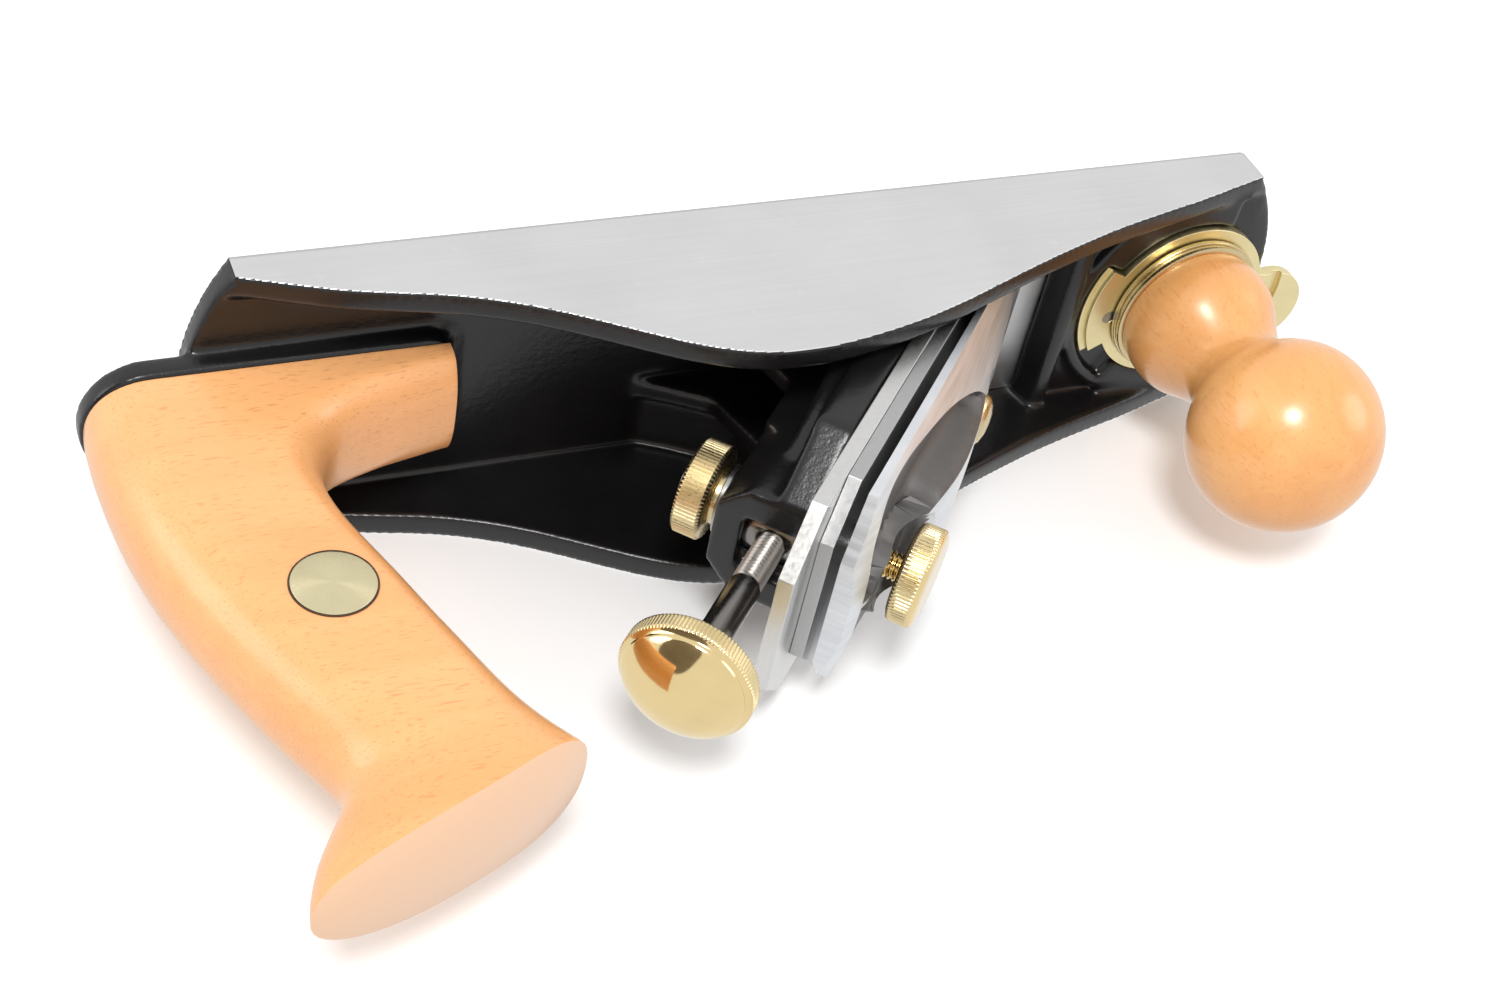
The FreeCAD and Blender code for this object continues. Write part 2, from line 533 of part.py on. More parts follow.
# front knob: turned beech, bell-shaped foot, waist and ball
KNOB = [(17.4, 15.4), (18.0, 18.0), (18.0, 21.5), (16.9, 25.5), (14.6, 29.6), (12.6, 33.2), (11.7, 36.6), (12.6, 40.0),
        (16.2, 44.2), (19.6, 49.0), (21.3, 54.6), (21.2, 60.4), (19.2, 66.4), (15.4, 71.6), (10.4, 75.2), (5.2, 76.7), (0.0, 77.0)]
kb = doc.addObject("PartDesign::Body", "front_knob")
ks = kb.newObject("Sketcher::SketchObject", "front_knob_profile")
ks.AttachmentSupport = [(origin_plane(kb, "XZ_Plane"), "")]
ks.MapMode = "FlatFace"
curve = Part.BSplineCurve()
curve.interpolate([V(r, z, 0) for r, z in KNOB])
ks.addGeometry(curve, False)
ks.addGeometry(Part.LineSegment(V(0, 77.0, 0), V(0, 50.0, 0)), False)
ks.addGeometry(Part.LineSegment(V(0, 50.0, 0), V(4.6, 46.4, 0)), False)
ks.addGeometry(Part.LineSegment(V(4.6, 46.4, 0), V(4.6, 27.4, 0)), False)
ks.addGeometry(Part.LineSegment(V(4.6, 27.4, 0), V(7.0, 27.4, 0)), False)
ks.addGeometry(Part.LineSegment(V(7.0, 27.4, 0), V(7.0, 15.4, 0)), False)
ks.addGeometry(Part.LineSegment(V(7.0, 15.4, 0), V(17.4, 15.4, 0)), False)
kr = kb.newObject("PartDesign::Revolution", "front_knob_turn")
kr.Profile = ks
kr.ReferenceAxis = (ks, ["V_Axis"])
kr.Angle = 360.0
doc.recompute()
kb.Placement = FreeCAD.Placement(V(KX, 0, 0), FreeCAD.Rotation())
keep(kb, "front_knob")
turned("knob_insert", [("Sizes.stud_rad + Sizes.run_gap", 0), (7.0, 0), (7.0, 11.8), ("Sizes.stud_rad + Sizes.run_gap", 11.8)],
       FreeCAD.Placement(V(KX, 0, 15.5), FreeCAD.Rotation()))

# ------------------------------------------------------------- cutter group
def slot_outline(x0, x1, half, steps=12):
    pts = []
    for i in range(steps + 1):
        a = -math.pi / 2 + math.pi * i / steps
        pts.append((x1 + half * math.cos(a), half * math.sin(a)))
    for i in range(steps + 1):
        a = math.pi / 2 + math.pi * i / steps
        pts.append((x0 + half * math.cos(a), half * math.sin(a)))
    return pts


BW = d.blade_width / 2
EDGE = -3.1                               # cutting edge, just above the sole
bl = bed_sector([(EDGE, d.blade_thick), (2.44, 0), (d.blade_top, 0), (d.blade_top, d.blade_thick)], -BW, BW)
for sgn in (-1, 1):
    bl = bl.cut(prism([B(108.5, -1, sgn * (BW + 0.5)), B(d.blade_top + 1, -1, sgn * 13.4), B(d.blade_top + 1, -1, sgn * (BW + 0.5))], N * 6))
bl = bl.cut(prism([B(s, -1, y) for s, y in slot_outline(34.5, 66.0, 5.6)], N * 6))
bl = bl.cut(cyl(4.95, B(76.6, -1), N, 6))
feature("blade", bl.removeSplitter())

ci = bed_sector([(-1.1, d.cap_low), (0.2, 4.6), (2.2, 5.6), (5.0, d.cap_low + d.cap_thick), (d.cap_top, d.cap_low + d.cap_thick), (d.cap_top, d.cap_low)], -BW + 0.2, BW - 0.2)
for sgn in (-1, 1):
    ci = ci.cut(prism([B(98.0, 2, sgn * (BW + 0.5)), B(d.cap_top + 1, 2, sgn * 14.2), B(d.cap_top + 1, 2, sgn * (BW + 0.5))], N * 6))
ci = ci.cut(prism([B(s, 2, y) for s, y in slot_outline(34.5, 44.0, 5.6)], N * 6))
ci = ci.cut(cyl(2.6, B(60.0, 2), N, 6))
feature("cap_iron", ci.removeSplitter())

turned("cap_iron_screw", [(0, 0.2), (7.2, 0.2), (7.2, 2.6), (5.0, 2.9), (5.0, 6.1), (2.6, 6.1), (2.6, 8.9), (0, 8.9)],
       bed_place(60.0, -3.1))

# carriage: slides in the frog channel and lifts a boss into the blade
car = bed_prism([(70.6, -3.75), (80.4, -3.75), (80.4, 3.75), (70.6, 3.75)], -11.4, -0.4)
car = car.fuse([cyl(3.6, B(76.6, -0.6), N, 0.9), cyl(4.85, B(76.6, 0.1), N, 2.7)]).cut(cyl(d.rod_thread_rad + d.run_gap, B(66, -d.rod_drop), A, 20))
feature("adjuster_carriage", car.removeSplitter())

# rod: threaded where it runs in the swivel post, plain above it
turned("adjuster_rod", [(0, 0), (3.9, 0), (3.9, 1.5), (2.1, 1.5), (2.1, 2.0), ("Sizes.rod_thread_rad", 2.4), ("Sizes.rod_thread_rad", 42.0),
                        ("Sizes.rod_rad", 42.5), ("Sizes.rod_rad", 70.4), (0, 70.4)],
       rod_place(68.4, -d.rod_drop))
turned("adjuster_knob", [(0, 6.0), ("Sizes.rod_rad", 6.0), ("Sizes.rod_rad", 0), (7.0, 0), (7.4, 0.4), (7.4, 1.6), (12.4, 1.9), (13.0, 2.3), ("Sizes.adjust_rad", 2.8),
                         ("Sizes.adjust_rad", 6.0), (13.0, 6.6), (12.3, 7.1), (12.1, 7.4), (11.6, 7.5), (11.0, 8.2), (9.8, 9.4), (8.2, 10.6), (6.3, 11.6), (4.2, 12.3), (2.1, 12.7), (0, 12.8)],
       rod_place(132.8, -d.rod_drop))

# swivel post with its threaded tail
post = cyl(d.post_rad, B(d.post_at, -13.9), N, 13.4).fuse(cyl(d.post_tail_rad, B(d.post_at, -29.2), N, 15.4))
post = post.cut(cyl(d.rod_thread_rad + d.run_gap, B(d.post_at - 20, -d.rod_drop), A, 40))
feature("adjuster_post", post.removeSplitter())
turned("post_washer", [("Sizes.post_tail_rad + Sizes.run_gap", 0), (7.2, 0), (7.2, 0.8), ("Sizes.post_tail_rad + Sizes.run_gap", 0.8)],
       bed_back_place(d.post_at, -d.head_back - 0.1))
turned("tension_nut", [("Sizes.post_tail_rad + Sizes.run_gap", 0), (5.6, 0), (5.9, 0.3), (5.9, 1.5), (9.2, 1.7), ("Sizes.nut_rad", 2.3), ("Sizes.nut_rad", 4.6), (9.3, 5.3),
                       (5.2, 5.5), ("Sizes.post_tail_rad + Sizes.run_gap", 5.5)],
       bed_back_place(d.post_at, -d.head_back - 1.0))

# ------------------------------------------------------------- lever cap
U = d.lever_cap_under


def cap_section(s, w, edge_n, crest_half, crest_n):
    return Part.makePolygon([B(s, U, -w), B(s, U, w), B(s, edge_n, w), B(s, crest_n, crest_half), B(s, crest_n, -crest_half), B(s, edge_n, -w), B(s, U, -w)])


secs = [(8.0, 24.9, 9.0, 3.0, 11.4), (36.0, 24.9, 9.5, 4.0, 15.6), (76.0, 24.9, 10.0, 8.0, 18.6), (101.0, 24.9, 10.2, 9.0, 14.0), (d.lever_cap_top, 13.6, 10.8, 7.0, 12.3)]
lc = Part.makeLoft([cap_section(*s) for s in secs], True, True)
# hollow scoops either side of the spine, and round the clamp-screw boss
scoop = [(39.0, 6.0), (45.0, 11.4), (53.0, 16.0), (63.5, 19.8), (77.5, 22.2), (90.0, 23.2), (97.0, 21.4), (102.6, 15.6), (104.6, 8.0),
         (104.4, 0.0), (100.6, 0.0), (99.2, 4.6), (95.6, 7.8), (90.0, 9.0), (84.0, 8.4), (78.0, 7.4), (60.0, 5.6), (46.0, 4.6)]
for sgn in (-1, 1):
    tool = prism([B(s, 10.9, sgn * y) for s, y in scoop], N * 20.0)
    lc = lc.cut(tool)
# wheel clearance over the boss
lc = lc.cut(cyl(11.4, B(d.wheel_at, 13.6), N, 20))
# key-hole for the screw
lc = lc.cut(prism([B(s, U - 1, y) for s, y in slot_outline(d.screw_at - 8.0, d.screw_at, d.screw_shank_rad + 0.3)], N * 20))
lc = lc.cut(cyl(d.screw_head_rad + 0.4, B(d.screw_at - 8.0, U - 1), N, 20))
lc = lc.cut(prism([B(s, d.screw_seat - 0.1, y) for s, y in slot_outline(d.screw_at - 8.0, d.screw_at, d.screw_head_rad + 0.4)], N * 20))
lc = lc.cut(cyl(d.clamp_screw_rad + d.run_gap, B(d.wheel_at, 0), N, 40))
lc = lc.cut(cyl(5.1, B(d.wheel_at, U - 1), N, 2.6))
# nose that bears on the cap iron
nose = bed_sector([(8.0, U + 0.2), (8.0, 6.3), (9.2, 6.2), (12.6, 6.2), (16.5, U + 0.2)], -24.4, 24.4)
lc = lc.fuse(nose).removeSplitter()
feature("lever_cap", lc)

turned("lever_cap_screw", [(0, 0), ("Sizes.screw_shank_rad", 0), ("Sizes.screw_shank_rad", 29.2), ("Sizes.screw_head_rad", 29.2), ("Sizes.screw_head_rad", 30.6),
                           (5.4, 31.6), (4.2, 32.4), (2.4, 32.9), (0, 33.1)],
       bed_place(d.screw_at, -15.0))
turned("clamp_pad", [(0, 0), (4.4, 0), (4.6, 0.2), (4.6, 1.7), (0, 1.7)], bed_place(d.wheel_at, 6.2))
turned("clamp_screw", [(0, 0), (2.4, 0), ("Sizes.clamp_screw_rad", 0.6), ("Sizes.clamp_screw_rad", 8.8), (5.4, 8.8), (5.6, 9.0), (9.4, 9.2), ("Sizes.wheel_rad", 10.0),
                       ("Sizes.wheel_rad", 14.0), (9.6, 14.8), (8.0, 15.0), (0, 15.0)],
       bed_place(d.wheel_at, 8.0))

# ------------------------------------------------------------- check, write
doc.recompute()
bad = []
for obj in doc.Objects:
    if "Invalid" in obj.State or "Error" in obj.State:
        bad.append("%s: %s" % (obj.Name, obj.State))
for obj in made:
    s = obj.Shape
    if s.isNull() or not s.isValid() or not s.Solids:
        bad.append("%s: bad shape" % obj.Label)
    elif len(s.Solids) != 1:
        bad.append("%s: %d solids" % (obj.Label, len(s.Solids)))
if bad:
    raise RuntimeError("; ".join(bad))
os.makedirs("parts", exist_ok=True)
for obj in made:
    obj.Shape.exportStep(os.path.join("parts", obj.Label + ".step"))
    bb = obj.Shape.BoundBox
    print("%-20s vol %9.1f  x %7.1f %7.1f  y %6.1f %6.1f  z %6.1f %6.1f" % (
        obj.Label, obj.Shape.Volume, bb.XMin, bb.XMax, bb.YMin, bb.YMax, bb.ZMin, bb.ZMax))
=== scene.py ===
import bpy
import bmesh
import json
import math
import numpy as np
from mathutils import Matrix, Vector
from mathutils.geometry import delaunay_2d_cdt


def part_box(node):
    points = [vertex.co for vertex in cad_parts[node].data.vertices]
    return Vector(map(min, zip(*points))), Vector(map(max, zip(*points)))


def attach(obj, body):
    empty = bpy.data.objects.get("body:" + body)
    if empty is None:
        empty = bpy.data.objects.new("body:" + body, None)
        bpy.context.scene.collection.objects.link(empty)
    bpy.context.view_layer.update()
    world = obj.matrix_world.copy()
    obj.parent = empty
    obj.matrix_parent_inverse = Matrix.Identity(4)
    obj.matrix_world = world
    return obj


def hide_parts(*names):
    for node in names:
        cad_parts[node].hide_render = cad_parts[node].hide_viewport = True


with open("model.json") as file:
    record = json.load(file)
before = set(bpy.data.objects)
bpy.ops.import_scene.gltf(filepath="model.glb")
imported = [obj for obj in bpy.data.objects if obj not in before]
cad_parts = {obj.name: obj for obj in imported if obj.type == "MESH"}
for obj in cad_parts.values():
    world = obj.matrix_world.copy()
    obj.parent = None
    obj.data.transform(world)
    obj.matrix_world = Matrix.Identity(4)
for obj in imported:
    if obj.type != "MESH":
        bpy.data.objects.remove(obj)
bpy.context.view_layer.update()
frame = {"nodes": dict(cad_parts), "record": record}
nodes = frame["nodes"]
scene = bpy.context.scene
scene.view_settings.view_transform = "Standard"
scene.view_settings.look = "None"
MM = 0.001

# ------------------------------------------------------------------ camera
RIGHT = Vector((0.91316, 0.17215, 0.36946))
DOWN = Vector((-0.14518, -0.70961, 0.68948))
AHEAD = Vector((0.38086, -0.68325, -0.62299))
EYE = Vector((-0.19383, 0.30076, 0.32576))
cam_data = bpy.data.cameras.new("camera")
cam_data.sensor_width = 36.0
cam_data.sensor_fit = "HORIZONTAL"
cam_data.lens = 54.0
cam_data.clip_start, cam_data.clip_end = 0.01, 20.0
cam = bpy.data.objects.new("camera", cam_data)
scene.collection.objects.link(cam)
cam.matrix_world = Matrix.Translation(EYE) @ Matrix((RIGHT, -DOWN, -AHEAD)).transposed().to_4x4()
scene.camera = cam


# --------------------------------------------------------------- node helpers
class Tree:
    def __init__(self, name):
        self.mat = bpy.data.materials.new(name)
        self.mat.use_nodes = True
        self.t = self.mat.node_tree
        self.t.nodes.clear()
        self.out = self.t.nodes.new("ShaderNodeOutputMaterial")
        self.b = self.t.nodes.new("ShaderNodeBsdfPrincipled")
        self.t.links.new(self.b.outputs[0], self.out.inputs[0])
        self.co = self.t.nodes.new("ShaderNodeTexCoord").outputs["Object"]

    def new(self, kind, **kw):
        n = self.t.nodes.new(kind)
        for k, v in kw.items():
            setattr(n, k, v)
        return n

    def put(self, sock, val):
        if hasattr(val, "is_linked") or isinstance(val, bpy.types.NodeSocket):
            self.t.links.new(val, sock)
        else:
            sock.default_value = val

    def math(self, op, a, b=0.0, clamp=False):
        n = self.new("ShaderNodeMath", operation=op, use_clamp=clamp)
        self.put(n.inputs[0], a)
        self.put(n.inputs[1], b)
        return n.outputs[0]

    def scaled(self, sx, sy, sz, rot=(0, 0, 0), loc=(0, 0, 0)):
        n = self.new("ShaderNodeMapping")
        self.t.links.new(self.co, n.inputs["Vector"])
        n.inputs["Scale"].default_value = (sx, sy, sz)
        n.inputs["Rotation"].default_value = rot
        n.inputs["Location"].default_value = loc
        return n.outputs[0]

    def noise(self, vec, scale=1.0, detail=3.0, rough=0.5, dist=0.0):
        n = self.new("ShaderNodeTexNoise")
        self.t.links.new(vec, n.inputs["Vector"])
        n.inputs["Scale"].default_value = scale
        n.inputs["Detail"].default_value = detail
        n.inputs["Roughness"].default_value = rough
        n.inputs["Distortion"].default_value = dist
        return n.outputs[0]

    def ramp(self, fac, stops):
        n = self.new("ShaderNodeValToRGB")
        self.t.links.new(fac, n.inputs[0])
        r = n.color_ramp
        while len(r.elements) > 1:
            r.elements.remove(r.elements[-1])
        for i, (p, c) in enumerate(stops):
            e = r.elements[0] if i == 0 else r.elements.new(p)
            e.position = p
            e.color = tuple(c) + (1.0,) if len(c) == 3 else tuple(c)
        return n.outputs[0]

    def mapr(self, v, a0, a1, b0, b1):
        n = self.new("ShaderNodeMapRange")
        self.put(n.inputs[0], v)
        for i, x in enumerate((a0, a1, b0, b1)):
            n.inputs[i + 1].default_value = x
        return n.outputs[0]

    def mix(self, fac, a, b, kind="MIX"):
        n = self.new("ShaderNodeMix", data_type="RGBA", blend_type=kind)
        self.put(n.inputs[0], fac)
        for sock, v in ((n.inputs[6], a), (n.inputs[7], b)):
            self.put(sock, v if not isinstance(v, tuple) or len(v) == 4 else v + (1.0,))
        return n.outputs[2]

    def bump(self, height, strength, dist, normal=None):
        n = self.new("ShaderNodeBump")
        n.inputs["Strength"].default_value = strength
        n.inputs["Distance"].default_value = dist
        self.t.links.new(height, n.inputs["Height"])
        if normal is not None:
            self.t.links.new(normal, n.inputs["Normal"])
        return n.outputs[0]

    def xyz(self):
        n = self.new("ShaderNodeSeparateXYZ")
        self.t.links.new(self.co, n.inputs[0])
        return n.outputs

    def set(self, **kw):
        names = {"color": "Base Color", "metal": "Metallic", "rough": "Roughness", "normal": "Normal",
                 "coat": "Coat Weight", "coat_rough": "Coat Roughness", "spec": "Specular IOR Level",
                 "aniso": "Anisotropic", "ior": "IOR", "sheen": "Sheen Weight", "sub": "Subsurface Weight"}
        for k, v in kw.items():
            if isinstance(v, tuple) and len(v) == 3 and k == "color":
                v = v + (1.0,)
            self.put(self.b.inputs[names[k]], v)
        return self.mat


BED_X = 48.0 * MM
R2 = math.sqrt(0.5)


def bed_axes(t):
    """(s, n) of a shading point: up the bed and out of the bed, in metres."""
    x, y, z = t.xyz()
    dx = t.math("SUBTRACT", x, BED_X)
    s = t.math("MULTIPLY", t.math("SUBTRACT", z, dx), R2)
    n = t.math("MULTIPLY", t.math("ADD", z, dx), R2)
    return s, n, y


def steel(name, color, rough, along, grain=0.06, bump=0.05, spots=0.0):
    """Ground steel: fine scratches along one axis (scale triple), faint clouding."""
    t = Tree(name)
    g = t.noise(t.scaled(*along), 1.0, 4.0, 0.65)
    cloud = t.noise(t.scaled(55, 55, 55), 1.0, 3.0, 0.5)
    fine = t.noise(t.scaled(900, 900, 900), 1.0, 2.0, 0.5)
    v = t.math("ADD", t.math("MULTIPLY", t.math("SUBTRACT", g, 0.5), grain * 2.2),
               t.math("MULTIPLY", t.math("SUBTRACT", cloud, 0.5), grain * 1.4))
    v = t.math("ADD", v, t.math("MULTIPLY", t.math("SUBTRACT", fine, 0.5), grain * 0.8))
    col = t.mix(t.mapr(v, -0.12, 0.12, 0.0, 1.0), tuple(c * 0.86 for c in color), tuple(min(1.0, c * 1.1) for c in color))
    r = t.mapr(g, 0.3, 0.7, rough - 0.05, rough + 0.07)
    return t.set(color=col, metal=1.0, rough=r, normal=t.bump(g, bump, 0.00004))


def brass(name, color, rough, turned=0.0, axis_scale=None):
    t = Tree(name)
    cloud = t.noise(t.scaled(120, 120, 120), 1.0, 3.0, 0.55)
    fine = t.noise(t.scaled(*(axis_scale or (1500, 1500, 1500))), 1.0, 3.0, 0.6)
    col = t.mix(cloud, tuple(c * 0.9 for c in color), tuple(min(1, c * 1.08) for c in color))
    r = t.mapr(fine, 0.3, 0.7, rough * 0.85, rough * 1.25)
    return t.set(color=col, metal=1.0, rough=r, normal=t.bump(fine, turned, 0.00003))


def wood(name, light, dark, fleck, along="X", gloss=0.33, end_pale=0.0, fleck_amt=0.55):
    """Lacquered beech: slow tone drift, growth bands and short ray flecks along the grain."""
    t = Tree(name)
    if along == "X":
        drift, band, fl, pore = (14, 60, 34), (6, 150, 110), (330, 3200, 2600), (700, 6200, 6200)
    else:
        drift, band, fl, pore = (60, 40, 14), (120, 120, 9), (1500, 1500, 300), (4200, 4200, 520)
    a = t.noise(t.scaled(*drift), 1.0, 3.0, 0.5, 0.4)
    b = t.noise(t.scaled(*band), 1.0, 4.0, 0.6, 0.9)
    base = t.mix(t.mapr(t.math("ADD", t.math("MULTIPLY", a, 0.55), t.math("MULTIPLY", b, 0.45)), 0.34, 0.66, 0.0, 1.0), dark, light)
    f = t.noise(t.scaled(*fl), 1.0, 2.0, 0.45, 0.2)
    fm = t.mapr(f, 0.585, 0.70, 0.0, fleck_amt)
    lo = t.mapr(t.noise(t.scaled(*pore), 1.0, 2.0, 0.5), 0.40, 0.62, 0.0, 0.16)
    col = t.mix(fm, base, fleck)
    col = t.mix(lo, col, tuple(c * 0.80 for c in dark))
    if end_pale > 0.0:
        g = t.new("ShaderNodeNewGeometry")
        sp = t.new("ShaderNodeSeparateXYZ")
        tr = t.new("ShaderNodeVectorTransform", vector_type="NORMAL", convert_from="WORLD", convert_to="OBJECT")
        t.t.links.new(g.outputs["True Normal"], tr.inputs[0])
        t.t.links.new(tr.outputs[0], sp.inputs[0])
        top = t.math("MULTIPLY", t.mapr(sp.outputs[2], 0.84, 0.88, 0.0, 1.0), t.mapr(t.xyz()[2], 0.100, 0.105, 0.0, 1.0))
        col = t.mix(t.math("MULTIPLY", top, end_pale), col, (0.80, 0.50, 0.31))
    r = t.mapr(b, 0.3, 0.7, gloss - 0.03, gloss + 0.05)
    return t.set(color=col, rough=r, spec=0.5, coat=0.55, coat_rough=0.20, normal=t.bump(f, 0.05, 0.00005))


def enamel_and_ground(name):
    """One casting: black enamel everywhere but the ground sole, cheeks and bed."""
    t = Tree(name)
    x, y, z = t.xyz()
    ay = t.math("ABSOLUTE", y)
    cheek = t.mapr(ay, 0.031700, 0.031745, 0.0, 1.0)
    sole = t.mapr(z, 0.00006, 0.00001, 0.0, 1.0)
    mask = t.math("MAXIMUM", cheek, sole)
    g = t.noise(t.scaled(25, 1600, 1600), 1.0, 4.0, 0.65)
    cloud = t.noise(t.scaled(38, 38, 38), 1.0, 3.0, 0.5)
    spot = t.noise(t.scaled(260, 260, 260), 1.0, 2.0, 0.5)
    v = t.math("ADD", t.math("MULTIPLY", t.math("SUBTRACT", g, 0.5), 0.14), t.math("MULTIPLY", t.math("SUBTRACT", cloud, 0.5), 0.16))
    v = t.math("ADD", v, t.math("MULTIPLY", t.mapr(spot, 0.66, 0.78, 0.0, 1.0), 0.04))
    ground = t.mix(t.mapr(v, -0.12, 0.12, 0.0, 1.0), (0.60, 0.60, 0.60), (0.76, 0.76, 0.765))
    peel = t.noise(t.scaled(620, 620, 620), 1.0, 3.0, 0.55)
    peel2 = t.noise(t.scaled(1900, 1900, 1900), 1.0, 2.0, 0.5)
    lump = t.noise(t.scaled(120, 120, 120), 1.0, 2.0, 0.5)
    black = t.mix(lump, (0.0045, 0.0042, 0.0045), (0.0095, 0.0088, 0.009))
    h = t.math("ADD", t.math("MULTIPLY", peel, 0.7), t.math("ADD", t.math("MULTIPLY", peel2, 0.3), t.math("MULTIPLY", lump, 0.5)))
    hb = t.mix(mask, t.mix(1.0, (0, 0, 0), h), t.mix(1.0, (0, 0, 0), t.math("MULTIPLY", g, 0.10)))
    col = t.mix(mask, black, ground)
    rough = t.mapr(t.math("ADD", mask, t.math("MULTIPLY", peel, 0.12)), 0.0, 1.12, 0.25, 0.44)
    return t.set(color=col, metal=t.math("MULTIPLY", mask, 0.92), rough=rough, normal=t.bump(hb, 0.34, 0.00026))


def cap_steel(name):
    t = Tree(name)
    s, n, y = bed_axes(t)
    g = t.noise(t.scaled(70, 900, 70), 1.0, 4.0, 0.6)
    cl = t.noise(t.scaled(60, 60, 60), 1.0, 3.0, 0.5)
    col = t.mix(t.mapr(t.math("ADD", g, t.math("MULTIPLY", cl, 0.6)), 0.6, 1.0, 0.0, 1.0), (0.70, 0.715, 0.74), (0.82, 0.835, 0.86))
    return t.set(color=col, metal=1.0, rough=t.mapr(g, 0.3, 0.7, 0.38, 0.46), normal=t.bump(g, 0.05, 0.00003))


def scoop_black(name):
    t = Tree(name)
    cl = t.noise(t.scaled(300, 300, 300), 1.0, 3.0, 0.55)
    col = t.mix(cl, (0.085, 0.080, 0.077), (0.125, 0.118, 0.114))
    return t.set(color=col, metal=0.35, rough=t.mapr(cl, 0.3, 0.7, 0.34, 0.44), normal=t.bump(cl, 0.08, 0.00005))


M = {
    "cast": enamel_and_ground("cast_iron"),
    "handle": wood("beech_handle", (0.862, 0.432, 0.174), (0.784, 0.352, 0.128), (0.47, 0.19, 0.06), "X", 0.34, 1.0, 0.50),
    "knob": wood("beech_knob", (0.83, 0.42, 0.150), (0.73, 0.32, 0.098), (0.46, 0.17, 0.05), "Z", 0.28, 0.0, 0.28),
    "ground": steel("ground_steel", (0.62, 0.62, 0.62), 0.36, (30, 1500, 1500)),
    "blade": steel("blade_steel", (0.72, 0.715, 0.70), 0.33, (1300, 60, 1300), 0.08, 0.06),
    "capiron": steel("cap_iron_steel", (0.50, 0.50, 0.50), 0.36, (1300, 70, 1300), 0.09, 0.06),
    "cap": cap_steel("lever_cap_bright"),
    "scoop": scoop_black("lever_cap_scoop"),
    "rod": steel("rod_steel", (0.25, 0.235, 0.225), 0.20, (900, 900, 900), 0.05, 0.03),
    "bolt": steel("bolt_steel", (0.42, 0.42, 0.42), 0.3, (900, 900, 900), 0.06, 0.04),
    "thread": steel("threaded_steel", (0.36, 0.335, 0.31), 0.32, (900, 900, 900), 0.06, 0.04),
    "polished": brass("polished_brass", (0.87, 0.68, 0.35), 0.09),
    "knurl": brass("knurled_brass", (0.80, 0.66, 0.38), 0.30, 0.05),
    "turned": brass("turned_brass", (0.66, 0.53, 0.30), 0.24, 0.06),
    "lever": brass("lever_brass", (0.84, 0.73, 0.42), 0.36, 0.05, (300, 2200, 2200)),
    "disc": brass("brushed_brass", (0.76, 0.68, 0.43), 0.30, 0.06, (2600, 2600, 2600)),
    "gap": Tree("gap_shadow").set(color=(0.055, 0.025, 0.012), rough=0.7),
}


tan = M["disc"].node_tree.nodes.new("ShaderNodeTangent")
tan.direction_type = "RADIAL"
tan.axis = "Y"
for nd in M["disc"].node_tree.nodes:
    if nd.type == "BSDF_PRINCIPLED":
        nd.inputs["Anisotropic"].default_value = 0.75
        M["disc"].node_tree.links.new(tan.outputs[0], nd.inputs["Tangent"])
gn = M["gap"].node_tree.nodes
gz = gn.new("ShaderNodeTexNoise")
gz.inputs["Scale"].default_value = 900.0
for nd in gn:
    if nd.type == "BSDF_PRINCIPLED":
        gr = gn.new("ShaderNodeMapRange")
        gr.inputs[3].default_value, gr.inputs[4].default_value = 0.55, 0.85
        M["gap"].node_tree.links.new(gz.outputs[0], gr.inputs[0])
        M["gap"].node_tree.links.new(gr.outputs[0], nd.inputs["Roughness"])


# ----------------------------------------------------------------- geometry
def add_object(name, verts, faces, mats, face_mat=None, sharp=35.0, body=None, stands=(), slot=None):
    """verts in millimetres, row frame."""
    me = bpy.data.meshes.new(name)
    me.from_pydata([tuple(float(c) * MM for c in v) for v in verts], [], [tuple(int(i) for i in f) for f in faces])
    for m in mats:
        me.materials.append(M[m])
    if face_mat is not None:
        me.polygons.foreach_set("material_index", [int(i) for i in face_mat])
    me.validate()
    ob = bpy.data.objects.new(name, me)
    scene.collection.objects.link(ob)
    bm = bmesh.new()
    bm.from_mesh(me)
    bmesh.ops.recalc_face_normals(bm, faces=bm.faces)
    bm.to_mesh(me)
    bm.free()
    me.shade_smooth()
    me.set_sharp_from_angle(angle=math.radians(sharp))
    if body:
        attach(ob, body)
    if stands:
        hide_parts(*stands)
    return ob


def frame_of(origin, axis, side=None):
    a = np.array(axis, float)
    a /= np.linalg.norm(a)
    u = np.array(side if side is not None else ((0, 1, 0) if abs(a[1]) < 0.9 else (1, 0, 0)), float)
    u -= a * (u @ a)
    u /= np.linalg.norm(u)
    return np.array(origin, float), a, u, np.cross(a, u)


